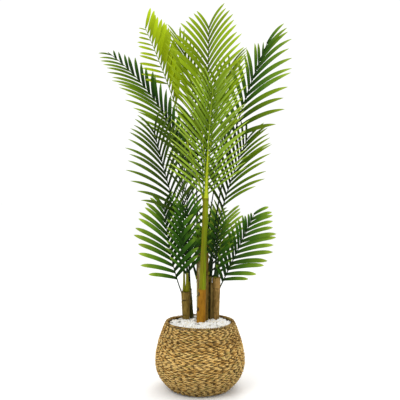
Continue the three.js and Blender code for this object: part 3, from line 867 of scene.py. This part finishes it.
def addStrip(heap, name, draw):
    top = canes[name]["height"] * mm
    start = draw.uniform(bark["low"] + strip["aboveFoot"], top - strip["belowTop"])
    end = min(start + draw.uniform(*strip["length"]), top + draw.uniform(*strip["overTop"]))
    angle = draw.uniform(0, turn)
    lean = draw.uniform(-strip["lean"], strip["lean"])
    width = draw.uniform(*strip["width"])
    curl = draw.uniform(0, strip["looseCurl"] if end > top - strip["looseFrom"] else strip["curl"])
    footBase, footRise = strip["footWidth"]
    tipBase, tipRise = strip["tipWidth"]
    rings = []
    for share in np.linspace(0, 1, strip["steps"]):
        height = start + (end - start) * share
        middle, radius = caneAt(name, min(height, top))
        out, side = waysAt(angle + lean * share)
        away = radius + strip["raised"] + curl * max(0.0, share - strip["curlFrom"]) ** 2 * strip["curlRise"]
        point = np.array([middle.x, middle.y, height]) + out * away
        half = width / 2 * min(1.0, footBase + footRise * share, tipBase + tipRise * (1 - share))
        sunk = out * half * half / radius / 2  # the edges lie as the cane curves
        rings.append([point - side * half - sunk, point + out * strip["thick"],
                      point + side * half - sunk, point - out * strip["thick"]])
    heap.addRings(np.array(rings)[:, ::-1], scar=draw.uniform(*strip["scar"]))


def addFibre(heap, name, draw):
    top = canes[name]["height"] * mm
    lowest, highest = fibre["belowTop"]
    middle, radius = caneAt(name, draw.uniform(top - lowest, top - highest))
    out = waysAt(draw.uniform(0, turn))[0]
    point = np.array(middle) + out * radius
    length = draw.uniform(*fibre["length"])
    bends = [draw.uniform(-fibre["bend"], fibre["bend"]) for axis in "xy"]
    bend = np.array([*bends, draw.uniform(*fibre["fall"])])
    way = unit(out * fibre["outward"] + np.array([0, 0, draw.uniform(*fibre["rise"])]))
    rings = []
    for share in np.linspace(0, 1, fibre["steps"]):
        side = unit(np.cross(way, fibre["askew"]))
        other = np.cross(way, side)
        size = fibre["radius"] * (1 - fibre["thinner"] * share)
        rings.append([point + size * (math.cos(place) * side + math.sin(place) * other)
                      for place in (0, turn / 4, turn / 2, turn * 3 / 4)])
        point = point + way * length / fibre["steps"]
        way = unit(way + bend * fibre["turning"])
    heap.addRings(np.array(rings), scar=draw.uniform(*fibre["scar"]))


def addFrayed(heap, draw):
    # the torn sheath between the two right canes, in strips side by side
    shares = np.linspace(0, 1, frayed["steps"])
    tipBase, tipRise = frayed["tipWidth"]
    thick = strip["thick"]
    for across in np.linspace(frayed["left"], frayed["right"], frayed["count"]):
        sways = [draw.uniform(-1, 1) * frayed["sway"] for place in frayed["swayAt"]]
        x = across + np.interp(shares, frayed["swayAt"], sways)
        y = frayed["deep"] + draw.uniform(-frayed["shift"], frayed["shift"])
        z = frayed["low"] + (frayed["high"] - frayed["low"]) * shares * draw.uniform(*frayed["tall"])
        half = draw.uniform(*frayed["half"]) * np.minimum(1, tipBase + tipRise * (1 - shares))
        rings = [[[a - h, y, c], [a, y - thick * 2, c], [a + h, y, c], [a, y + thick, c]]
                 for a, c, h in zip(x, z, half)]
        heap.addRings(np.array(rings), scar=draw.uniform(*frayed["scar"]))


def addAll(addOne, heap, counts, draw):
    for name, count in counts.items():
        for number in range(count):
            addOne(heap, name, draw)


huskDraw = random.Random(huskSeed)
huskHeap = Heap()
fibreHeap = Heap()
addAll(addStrip, huskHeap, strip["counts"], huskDraw)
addFrayed(huskHeap, huskDraw)
addAll(addFibre, fibreHeap, fibre["counts"], huskDraw)
huskPaint = grainedFinish("husk", "bark", huskTints)
addPiece("husk_strips", huskHeap, [huskPaint])
addPiece("husk_fibres", fibreHeap, [huskPaint])
print("husk ready")

# crownshaft: green sheaths wrapped over each other
shaft = {
    "foot": (8.8, 0),
    "top": (23, 0),
    "low": 398 * mm,
    "high": 757 * mm,
    "girth": (13,),
    "radii": ((-0.05, 13.4), (0.0, 13.6), (0.2, 12.6), (0.45, 11.0), (0.85, 11.2), (1.0, 11.8), (1.03, 9.6)),
    "rings": 44,
    "steps": 40,
    "cap": 2 * mm,
}
# each sheath covers the shaft from one share to another, between two edges that turn on the way up
wraps = {
    "steps": 34, "sides": 18, "step": 0.9 * mm, "bulge": 0.6, "inside": 1.2 * mm, "turns": (0, 0.5, 1),
    "sharp": 40,
    "sheaths": (
        {"shares": (-0.02, 0.32), "edges": ((-96, -84, -58), (38, 10, -52)), "layer": 1},
        {"shares": (0.16, 1.02), "edges": ((-64, -104, -92), (150, 130, 95)), "layer": 0.5},
    ),
}


def shaftAt(share):
    radius = np.interp(share, *zip(*shaft["radii"])) * mm
    return middleOf(shaft, share), radius, shaft["low"] + (shaft["high"] - shaft["low"]) * share


def shaftCore():
    shares = np.linspace(shaft["radii"][0][0], shaft["radii"][-1][0], shaft["rings"])
    side = [(float(shaftAt(share)[1]), float(shaftAt(share)[2])) for share in shares]
    bm = spunShape([(0, side[0][1]), *side, (0, side[-1][1] + shaft["cap"])], shaft["steps"])
    for vert in bm.verts:
        middle = shaftAt((vert.co.z - shaft["low"]) / (shaft["high"] - shaft["low"]))[0]
        vert.co.x += middle[0]
        vert.co.y += middle[1]
    return bm


def addSheaths(heap):
    bulge = wraps["bulge"] * np.sin(np.linspace(0, math.pi, wraps["sides"]))
    for sheath in wraps["sheaths"]:
        outer = wraps["step"] * (sheath["layer"] + bulge)
        offsets = np.concatenate([outer, np.full(wraps["sides"], -wraps["inside"])])
        rings = []
        for run in np.linspace(0, 1, wraps["steps"]):
            first, last = sheath["shares"]
            (x, y), radius, height = shaftAt(first + (last - first) * run)
            edges = [math.radians(np.interp(run, wraps["turns"], edge)) for edge in sheath["edges"]]
            angles = np.linspace(*edges, wraps["sides"])
            radii = radius + offsets
            angles = np.concatenate([angles, angles[::-1]])
            heights = np.full(len(angles), height)
            rings.append(np.stack([x + radii * np.cos(angles), y + radii * np.sin(angles), heights], -1))
        heap.addRings(np.array(rings))


olive = grainedFinish("sheath_olive", "sheath", ((82, 84, 2), (120, 120, 10), (100, 80, 20)))
fresh = grainedFinish("sheath_fresh", "sheath", ((76, 88, 0), (128, 140, 4), (88, 80, 4)))
addPiece("crownshaft_core", shaftCore(), [olive], ["crownshaft"])
addPiece("crownshaft_wraps", heaped(addSheaths), [fresh], sharpFrom=wraps["sharp"])
print("crownshaft ready")

# pebbles
pebbles = {
    "edge": 258 * mm,
    "middle": 264 * mm,
    "reach": 120 * mm,
    "count": 1050,
    "radius": (4.2 * mm, 6.4 * mm),
    "shift": 2 * mm,
    "raised": (-4.5 * mm, 2.5 * mm),
    "tip": 0.6,
    "stretch": ((1.0, 1.45), (0.85, 1.1), (0.6, 0.85)),
    "clear": 0.55,  # the share of its size that a stone keeps from a cane
    "rough": 0.13,
    "roughScale": 1.3,
    "roughStep": 3.1,
    "grey": 0.05,
    "cream": 0.2,
    "hollow": (-100 * mm, 62 * mm, 0),  # a bare spot at the wall
    "hollowWidth": 34 * mm,
}
pebbleSeed = 5
stoneGrain = {"scale": 170.0, "roughness": 0.7, "depth": 0.3 * mm}
stoneTints = {
    "white": ((214, 213, 208), (234, 234, 231)),
    "cream": ((204, 196, 176), (226, 220, 204)),
    "grey": ((110, 108, 102), (160, 158, 150)),
}
bed = {
    "low": 240 * mm, "under": 3 * mm, "inset": 12 * mm, "steps": 48,
    # the bed's own grey, made darker to paint the shade in the gaps between the pebbles
    "tints": ((96, 88, 74), (156, 150, 136)),
    "grain": {"scale": 240.0, "roughness": 0.85, "depth": 0.6 * mm},
}


def bedHeight(radius):
    return pebbles["middle"] + (pebbles["edge"] - pebbles["middle"]) * radius / pebbles["reach"]


def stoneBall():
    bm = bmesh.new()
    bmesh.ops.create_icosphere(bm, subdivisions=2, radius=1.0)
    points = np.array([vert.co[:] for vert in bm.verts])
    faces = np.array([[vert.index for vert in face.verts] for face in bm.faces])
    bm.free()
    return points, faces


def addPebbles(heaps, draw):
    ball, faces = stoneBall()
    shift, tip = pebbles["shift"], pebbles["tip"]
    goldenTurn = math.pi * (3 - math.sqrt(5))
    for number in range(pebbles["count"]):
        radius = pebbles["reach"] * math.sqrt((number + 0.5) / pebbles["count"])
        angle = number * goldenTurn
        size = draw.uniform(*pebbles["radius"])
        spot = Vector((radius * math.cos(angle), radius * math.sin(angle), 0))
        spot += Vector((draw.uniform(-shift, shift), draw.uniform(-shift, shift), 0))
        height = bedHeight(radius)
        raised = height + draw.uniform(*pebbles["raised"])
        turned = Matrix.Rotation(draw.uniform(0, turn), 3, "Z")
        turned = turned @ Matrix.Rotation(draw.uniform(-tip, tip), 3, "X")
        stretch = np.array([draw.uniform(*span) for span in pebbles["stretch"]])
        kind = draw.random()
        near = [caneAt(name, height) for name in canes]
        clear = size * pebbles["clear"]
        if any((Vector((*middle[:2], 0)) - spot).length < girth + clear for middle, girth in near):
            continue
        if (spot - Vector(pebbles["hollow"])).length < pebbles["hollowWidth"] / 2:
            continue
        step = Vector((number * pebbles["roughStep"], 0, 0))
        bumps = [noise.noise(Vector(point) * pebbles["roughScale"] + step) for point in ball]
        stone = ball * (1 + pebbles["rough"] * np.array(bumps))[:, None] * stretch * size
        stone = stone @ np.array(turned).T + np.array([spot.x, spot.y, raised])
        tintName = "grey" if kind < pebbles["grey"] else "cream" if kind < pebbles["cream"] else "white"
        heaps[tintName].add(stone, faces)


def bedShape():
    rim = float(basketRadius(pebbles["edge"])) - bed["inset"]
    edge, middle = pebbles["edge"] - bed["under"], pebbles["middle"] - bed["under"]
    return spunShape([(0, bed["low"]), (rim, bed["low"]), (rim, edge), (0, middle)], bed["steps"])


bedPaint = roughFinish("bed", bed["tints"], **bed["grain"])
addPiece("pebble_bed_fill", bedShape(), [bedPaint], ["pebble_bed"])
stoneHeaps = {name: Heap() for name in stoneTints}
addPebbles(stoneHeaps, random.Random(pebbleSeed))
for stoneName, stoneHeap in stoneHeaps.items():
    stonePaint = roughFinish("stone_" + stoneName, stoneTints[stoneName], **stoneGrain)
    addPiece("pebbles_" + stoneName, stoneHeap, [stonePaint])
print("pebbles ready")

# fronds: the solids' own rule with finer leaflets
# lengths in millimetres and angles in degrees, as lean from upright and azimuth from the foot to the tip
usual = {
    "swing": 0, "bend": 1.3, "face": 270, "up": 0.3, "stalk": 4, "open": 54, "skew": 0, "closing": 0.66,
    "favour": 0, "slim": (11.5, 11.5), "base": 0.8, "ends": (0.45, 0.45), "lift": 14, "curl": 0.3,
    "droop": 0.35, "crowding": 0.92, "blunt": 2.6, "narrow": 0.62, "start": (0, 0), "steady": 0,
}


def frondOf(on, at, az, lean, length, bare, leaf, pairs, **own):
    # what carries it and where, its ways, its whole length, the share that is bare and its leaflets
    basic = {"on": on, "at": at, "az": az, "lean": lean, "length": length, "bare": bare, "leaf": leaf}
    return {**usual, **basic, "pairs": pairs, **own}


fronds = {
    "front": frondOf(
        "crown", (1, -5), 290, (5, 17), 455, 0.02, 215, 24, favour=0.02, base=0.95, open=50, closing=0.5,
        up=0.35, curl=0.12, droop=0.18, slim=(25, 25), stalk=5.5),
    "top_left": frondOf(
        "crown", (-7, 2), 172, (15, 27), 785, 0.5, 152, 15, swing=-25, favour=0.28, face=295, open=50,
        skew=22, closing=-0.14, ends=(0.28, 0.5), curl=-0.05, droop=0.1, slim=(9, 9), crowding=1.4,
        narrow=0.24, blunt=4, stalk=3.4, start=(0.24, 0)),
    "top_inner_left": frondOf(
        "crown", (-1, 8), 150, (0, 24), 690, 0.32, 182, 14, favour=-0.12, face=300, open=44, lift=8,
        curl=0.1, droop=0.15, slim=(14, 14), stalk=3.4),
    "top_inner_right": frondOf(
        "crown", (7, 3), 40, (1, 26), 580, 0.34, 190, 12, swing=-10, favour=0.1, face=238, open=46,
        droop=0.2, slim=(14, 12), stalk=3.4),
    "top": frondOf(
        "mid_right", (1, -4), 50, (0, 3), 908, 0.56, 215, 14, open=40, skew=3, closing=0.42,
        ends=(0.4, 0.48), curl=0.5, droop=0.1, slim=(12, 14.5), crowding=1.05, blunt=4, stalk=5.2),
    "upper_left": frondOf(
        "mid_left", (-4, -3), 182, (3, 56), 900, 0.4, 164, 17, swing=12, bend=1.35, favour=-0.15,
        face=235, open=32, skew=-6, closing=0.2, base=0.9, ends=(0.26, 0.08), lift=26, droop=0.24,
        slim=(14, 7.5), crowding=1.35),
    "upper_right": frondOf(
        "right_back", (0, 0), 4, (3, 24.5), 1035, 0.56, 208, 12, swing=-16, bend=1, favour=0.13,
        face=288, open=48, skew=4, closing=0.72, ends=(0.02, 0.4), lift=24, curl=0.5, droop=0.36,
        slim=(9.5, 11.5), crowding=1.1, stalk=5, steady=0.85),
    "mid_left": frondOf(
        "mid_left", (-8, 0), 196, (19, 14), 635, 0.44, 215, 13, height=430, face=285, open=44, curl=0.5,
        droop=0.34, slim=(15, 18)),
    "mid_right": frondOf(
        "mid_right", (8, 0), 14, (11, 25), 595, 0.46, 205, 12, height=450, face=255, open=40,
        closing=0.5, curl=0.45, droop=0.25, slim=(16, 14.5), steady=0.75),
    "mid_inner_left": frondOf(
        "left", (-7, 2), 105, (1, 12), 640, 0.52, 175, 11, favour=0.2, face=220, open=42,
        slim=(16, 15), start=(0.3, 0)),
    "low_left": frondOf(
        "left", (-8, -2), 193, (27, 5), 395, 0.2, 168, 12, height=350, bend=0.5, open=58, base=0.7,
        ends=(0.45, 0.4), curl=0.36, droop=0.22, slim=(9, 9), crowding=1, blunt=5, stalk=2.8),
    "low_inner_left": frondOf(
        "left", (7, -3), 260, (5, 9), 350, 0.18, 150, 11, favour=0.1, open=36, closing=0.36, curl=0.28,
        droop=0.2, slim=(11, 11), blunt=5, stalk=5.5),
    "low_back_left": frondOf(
        "left_back", (0, 0), 96, (4, 38), 430, 0.28, 170, 11, face=310, open=52, droop=0.2, slim=(15, 15)),
    "low_right": frondOf(
        "right", (8, -2), 350, (26, 24), 360, 0.1, 150, 13, height=380, bend=1, favour=0.12, open=48,
        skew=-9, closing=0.55, base=0.52, ends=(0, 0.36), curl=0.36, droop=0.2, slim=(8, 8), blunt=5,
        stalk=2.8),
    "low_inner_right": frondOf(
        "right", (-4, -6), 290, (6, 10), 255, 0.06, 120, 9, favour=-0.2, open=48, closing=0.4,
        curl=0.15, droop=0.2, slim=(9, 12), blunt=5, stalk=4.5),
    "low_back_right": frondOf(
        "right", (3, 7), 44, (5, 22), 262, 0.3, 122, 8, open=52, closing=0.5, ends=(0.55, 0.55),
        curl=0.15, droop=0.16, slim=(9, 9), blunt=5, stalk=4.5),
    "back_top": frondOf("mid_right", (-5, 5), 97, (4, 48), 640, 0.4, 190, 13, face=208, slim=(15, 15)),
    "back_left": frondOf("mid_left", (3, 6), 134, (8, 44), 600, 0.36, 190, 13, face=352, slim=(15, 15)),
    "back_right": frondOf("mid_right", (6, 4), 56, (8, 44), 600, 0.36, 190, 13, face=188, slim=(15, 15)),
    "back_high": frondOf(
        "mid_left", (0, 8), 102, (9, 20), 800, 0.46, 185, 13, height=470, face=100, slim=(15, 15)),
    "back_low": frondOf(
        "right_back", (0, 6), 75, (12, 42), 420, 0.22, 165, 11, height=330, face=100, droop=0.2,
        slim=(14, 14)),
}
# each frond's colours at its left and right and on its rib, forest where it isn't listed
# a pair of colours is one for the blade's foot and one for the rest of it
frondTints = {
    "front": ("meadow", "meadow", "lime"),
    "top_left": ("lime", "lime", "lime"),
    "top_inner_left": ("spring", "spring", "lime"),
    "top_inner_right": ("spring", "spring", "lime"),
    "top": ("spring", "spring", "forest"),
    "upper_left": ("grass", "forest", "grass"),
    "upper_right": ("fern", ("grass", "fern"), "forest"),
    "mid_left": ("moss", "moss", "forest"),
    "mid_right": ("moss", "grass", "forest"),
    "mid_inner_left": ("moss", "moss", "forest"),
    "low_left": ("fern", "forest", "forest"),
    "low_right": ("forest", "fern", "forest"),
    "low_back_right": ("meadow", "meadow", "grass"),
    "back_top": ("grass", "grass", "grass"),
    "back_left": ("moss", "moss", "forest"),
    "back_right": ("moss", "grass", "forest"),
    "back_high": ("moss", "grass", "forest"),
    "back_low": ("moss", "grass", "forest"),
}
# how far up each stalk its pale sheath reaches, in millimetres
sheathReach = {"low_inner_left": 78, "mid_inner_left": 80, "low_back_left": 20}
leaflet = {
    "steps": 12,
    "endward": 1.25,  # gathers the steps towards the tip
    "peak": 0.35,
    "falling": 1.6,
    "least": 0.14,
    "closingPower": 0.8,
    "roots": (0.35, 0.65),  # where in its pair the left and the right one leave the rib
    "lastRoot": 0.98,
    "widest": 0.45,
    "tipPower": 0.85,
    "roomAt": 5,  # the step at which the next leaflet is near
    "leastRoom": 0.42,
    "leastHalf": 0.15 * mm,
    "fold": 0.34,
    "unfold": 0.5,
    "midrib": 0.55 * mm,
    "thinner": 0.75,
    "section": ((-1, 1, 0), (-0.5, 0.34, 0.5), (0, 0, 1), (0.5, 0.34, 0.5), (1, 1, 0), (0, -0.1, -1)),
    "stretches": (0.36, 0.7),
    "clear": 1.5 * mm,  # from a cane
    "rootSteps": 2,  # any leaflet may touch a cane so far
    "ownSteps": 4,  # and one that starts at a cane so far
    "shortest": 0.5,
    "seedStep": 101,
    "lightSeed": 60,
}
# how leaflets differ: a place in the seeds and a span, in degrees or as a share
unlike = {"spread": (0, 5), "lift": (20, 7), "droop": (30, 0.4), "roll": (40, 32), "length": (50, 0.12)}
rib = {
    "sunk": 2,  # millimetres below the top of what carries it
    "steps": 48, "sides": 8, "tip": 1.2, "taper": 0.7, "pale": 0.42, "groove": 0.55, "grooveFrom": 0.9,
    "clasp": 1.0, "claspLength": 42 * mm, "claspFrom": 3,  # only stalks thicker than this clasp their cane
}
stations = 1 - (1 - np.linspace(0, 1, leaflet["steps"] + 1)) ** leaflet["endward"]
halfStations = middlesOf(stations)


# all that a frond can stand on, in the same terms
carriers = {name: {**stem, "low": bark["low"]} for name, stem in canes.items()}
carriers["crown"] = {**shaft, "height": shaft["high"] / mm}


def footOf(frond):
    stem = carriers[frond["on"]]
    height = frond.get("height", stem["height"] - rib["sunk"]) * mm
    share = (height - stem["low"]) / (stem["height"] * mm - stem["low"])
    across = [middle + shift * mm for middle, shift in zip(middleOf(stem, share), frond["at"])]
    return np.array([*across, height])


def heading(frond, share):
    lean = np.radians(frond["lean"][0] + (frond["lean"][1] - frond["lean"][0]) * share ** frond["bend"])
    azimuth = np.radians(frond["az"] + frond["swing"] * share)
    return np.stack([np.sin(lean) * np.cos(azimuth), np.sin(lean) * np.sin(azimuth), np.cos(lean)], -1)


def ribFrames(frond):
    # places along the rib, each with its way, the way to its right and its upper side
    shares = np.linspace(0, 1, rib["steps"] + 1)
    moves = heading(frond, middlesOf(shares)) * frond["length"] * mm / rib["steps"]
    places = footOf(frond) + summed(moves)
    alongs = heading(frond, shares)
    face = math.radians(frond["face"])
    look = np.array([math.cos(face), math.sin(face), frond["up"]])
    uppers = unit(look - alongs * (alongs @ look)[:, None])
    rights = np.cross(alongs, uppers)
    return {"share": shares, "place": places, "along": alongs, "upper": uppers, "right": rights}


def frameAt(frames, share):
    found = {}
    for key in ("place", "along", "right", "upper"):
        columns = [np.interp(share, frames["share"], column) for column in frames[key].T]
        found[key] = np.stack(columns, -1) if key == "place" else unit(np.stack(columns, -1))
    return found


def addRib(heap, frond, frames, sheathTo):
    shares = frames["share"]
    runs = shares * frond["length"] * mm
    radii = frond["stalk"] + (rib["tip"] - frond["stalk"]) * shares ** rib["taper"]
    clasp = rib["clasp"] * np.exp(-runs / rib["claspLength"]) * (frond["stalk"] > rib["claspFrom"])
    around = anglesOf(rib["sides"])
    above = np.sin(around)
    above = np.where(above > rib["grooveFrom"], rib["groove"], above)
    radii = radii * mm * (1 + clasp)
    rings = tube(frames["place"], frames["right"], frames["upper"], radii, np.cos(around), above)
    tones = (runs[:-1] > sheathTo * mm).astype(int) + (shares[:-1] > rib["pale"])
    heap.addRings(rings[:, ::-1], tones)


def leafWidth(blunt, narrow):
    # narrow at the root, broad past the middle and blunt at the tip
    widest = leaflet["widest"]
    rise = narrow + (1 - narrow) * np.sin(np.minimum(stations / widest, 1) * math.pi / 2)
    fall = 1 - np.clip((stations - widest) / (1 - widest), 0, 1) ** blunt
    return rise * fall ** leaflet["tipPower"]


def leafShare(frond, share, hand):
    # how long a leaflet is along the blade, from 0 at the blade's foot to 1 at its tip
    peak = leaflet["peak"]
    most = 1 + hand * frond["favour"]
    if share < peak:
        return most * (1 - (1 - frond["base"]) * (1 - share / peak) ** 2)
    fallen = ((share - peak) / (1 - peak)) ** leaflet["falling"]
    return most * (1 - (1 - frond["ends"][hand > 0]) * fallen)


# foot, top and radius of each
stems = [
    (np.array([*middleOf(stem, 0), stem["low"]]), np.array([*middleOf(stem, 1), stem["height"] * mm]),
     max(stem["girth"]) * mm)
    for stem in carriers.values()
]


def freeShare(line):
    # how much of a leaflet's midline lies before it would run into a cane
    free = 1.0
    for low, high, radius in stems:
        way = high - low
        share = np.clip((line - low) @ way / (way @ way), 0, 1)
        near = np.linalg.norm(line - low - share[:, None] * way, axis=1) < radius + leaflet["clear"]
        hits = np.flatnonzero(near[leaflet["rootSteps"]:]) + leaflet["rootSteps"]
        if len(hits) and (not near[0] or hits[0] > leaflet["ownSteps"]):
            line = line[:hits[0]]
            free = min(free, (hits[0] - 1) / leaflet["steps"])
    return free


def unlikeness(number, kind):
    # how far a leaflet is off the rule
    place, span = unlike[kind]
    return span * (scatter(number + place) - 0.5)


def leafletLine(frond, spot, number, share, hand, length):
    # the midline of one leaflet, which leaves the rib forwards, bends outwards and droops
    closed = frond["closing"] * share ** leaflet["closingPower"]
    spread = frond["open"] * (1 - closed) - hand * frond["skew"]
    openAngle = math.radians(spread + unlikeness(number, "spread"))
    lift = math.radians(frond["lift"] + unlikeness(number, "lift"))
    outward = spot["right"] * hand * math.cos(lift) + spot["upper"] * math.sin(lift)
    start = spot["along"] * math.cos(openAngle) + outward * math.sin(openAngle)
    droop = frond["droop"] * (1 + unlikeness(number, "droop"))
    curl = frond["curl"] * (1 - frond["steady"] * share)
    runs = halfStations[:, None]
    ways = unit(start + outward * curl * runs - np.array([0, 0, 1]) * droop * runs ** 2)
    line = spot["place"] + summed(ways * (length * np.diff(stations))[:, None])
    return line, np.concatenate([[start], ways])


def addLeaflet(heap, frond, frames, seed, pair, hand):
    side = int(hand > 0)
    bare, pairs, leaf = frond["bare"], frond["pairs"], frond["leaf"] * mm
    number = seed * leaflet["seedStep"] + pair * 2 + side
    share = (pair + 0.5) / pairs
    grown = leafShare(frond, share, hand)
    if grown < leaflet["least"] or share < frond["start"][side]:
        return
    root = min(leaflet["lastRoot"], (pair + leaflet["roots"][side]) / pairs)
    spot = frameAt(frames, bare + (1 - bare) * root)
    length = leaf * grown * (1 + unlikeness(number, "length"))
    line, ways = leafletLine(frond, spot, number, share, hand, length)
    free = freeShare(line)
    if free < leaflet["shortest"]:
        return
    line = spot["place"] + (line - spot["place"]) * free
    across = unit(spot["along"] - ways * (ways @ spot["along"])[:, None])
    above = np.cross(ways, across) * hand
    roll = math.radians(unlikeness(number, "roll")) * stations[:, None]
    rollCos, rollSin = np.cos(roll), np.sin(roll)
    across, above = across * rollCos + above * rollSin, above * rollCos - across * rollSin
    pitch = frond["length"] * mm * (1 - bare) / pairs
    room = pitch * np.linalg.norm(np.cross(spot["along"], ways[leaflet["roomAt"]])) * frond["crowding"]
    wide = min(leaf * math.sqrt(grown) / frond["slim"][side], max(room, pitch * leaflet["leastRoom"]))
    half = np.maximum(wide / 2 * leafWidth(frond["blunt"], frond["narrow"]), leaflet["leastHalf"])
    fold = leaflet["fold"] * (1 - leaflet["unfold"] * stations) * half
    thick = leaflet["midrib"] * (1 - leaflet["thinner"] * stations)
    rings = np.stack([line + across * (half * out)[:, None] + above * (fold * rise + thick * deep)[:, None]
                      for out, rise, deep in leaflet["section"]], 1)
    tones = np.digitize(halfStations, leaflet["stretches"])
    heap.addRings(rings[:, ::-hand], tones, run=np.repeat(stations, len(leaflet["section"])),
                  light=scatter(number + leaflet["lightSeed"]))


leafLook = {
    "rough": 0.46, "gloss": 0.07, "patchScale": 9.0, "grainScale": 420.0, "veins": 9, "veinBump": 0.4,
    "bump": (0.25, 0.3 * mm), "sharp": 24,
    "dark": 0.6, "patchLight": 0.48, "ownLight": 0.34, "veinLight": 0.03,
}


def leafFinish(name, first, last, low, high):
    # a stretch of a leaflet that runs from its first colour to its last
    look = leafLook
    paint = Paint(name, Roughness=look["rough"], Specular_IOR_Level=look["gloss"])
    places = paint.places()
    patches = paint.noise(places, look["patchScale"])
    grain = paint.noise(places, look["grainScale"])
    veins = (paint.flow()[0] * turn * look["veins"]).sine()
    colour = paint.mix(paint.value("run").between(low, high), first, last)
    light = look["dark"] + look["patchLight"] * patches + look["ownLight"] * paint.value("light")
    light = light * (1 - look["veinLight"] + look["veinLight"] * veins)
    paint.bump(veins * look["veinBump"] + grain, *look["bump"])
    return paint.cover(paint.bright(colour, light))


# the slot of each tint and its colours from root to tip
leafTints = {
    "lime": ("leaf_light", (96, 116, 0), (136, 156, 4), (152, 174, 12), (166, 186, 30)),
    "spring": ("leaf_light", (74, 94, 0), (104, 128, 4), (122, 146, 12), (146, 168, 36)),
    "meadow": ("leaf_mid", (74, 101, 14), (106, 134, 31), (126, 153, 44), (158, 181, 68)),
    "grass": ("leaf_mid", (38, 62, 0), (70, 98, 6), (96, 121, 14), (140, 160, 46)),
    "moss": ("leaf_dark", (22, 38, 4), (46, 66, 8), (70, 92, 18), (116, 140, 46)),
    "fern": ("leaf_dark", (22, 48, 2), (52, 86, 10), (88, 119, 22), (142, 164, 52)),
    "forest": ("leaf_dark", (8, 30, 0), (24, 54, 2), (44, 80, 8), (98, 128, 28)),
}
leafStretches = ((0.0, 0.38), (0.34, 0.72), (0.7, 1.0))
# the two colours of each rib up to where it turns pale, and from there on
ribTints = {
    "lime": (((134, 150, 10), (182, 194, 48)), ((98, 120, 14), (136, 158, 40))),
    "grass": (((52, 80, 8), (92, 120, 20)),) * 2,
    "forest": (((8, 24, 4), (26, 46, 8)),) * 2,
}
leafHeaps = {name: Heap() for name in leafTints}
ribHeaps = {name: Heap() for name in ribTints}
stands = {name: [] for name in leafTints}
footShare = 0.3


def heapFor(tint, share):
    # the heap of a tint, or for a pair of tints the heap of the one that the blade has at a share
    return leafHeaps[tint if isinstance(tint, str) else tint[share > footShare]]


for frondNumber, (frondName, frond) in enumerate(fronds.items(), 1):
    *leafPair, ribTint = frondTints.get(frondName, ("forest", "forest", "forest"))
    frames = ribFrames(frond)
    addRib(ribHeaps[ribTint], frond, frames, sheathReach.get(frondName, 0))
    for pair in range(frond["pairs"]):
        for hand, tint in zip((-1, 1), leafPair):
            leafHeap = heapFor(tint, pair / frond["pairs"])
            addLeaflet(leafHeap, frond, frames, frondNumber, pair, hand)
    stands[leafPair[0]].append("frond_" + frondName)
for tintName, (leafSlot, *tints) in leafTints.items():
    tints = shades(tints)
    leafPaints = [
        leafFinish(f"leaf_{tintName}_{place}", tints[place], tints[place + 1], *stretch)
        for place, stretch in enumerate(leafStretches)
    ]
    addPiece("leaves_" + tintName, leafHeaps[tintName], leafPaints, stands[tintName],
             leafLook["sharp"])
    print("leaves", tintName, leafHeaps[tintName].count, "points")
for tintName, tints in ribTints.items():
    ribPaints = [
        grainedFinish(f"rib_{tintName}_{place}", "sheath", (*tint, tint[0]))
        for place, tint in enumerate(tints)
    ]
    addPiece("ribs_" + tintName, ribHeaps[tintName], [olive, *ribPaints])
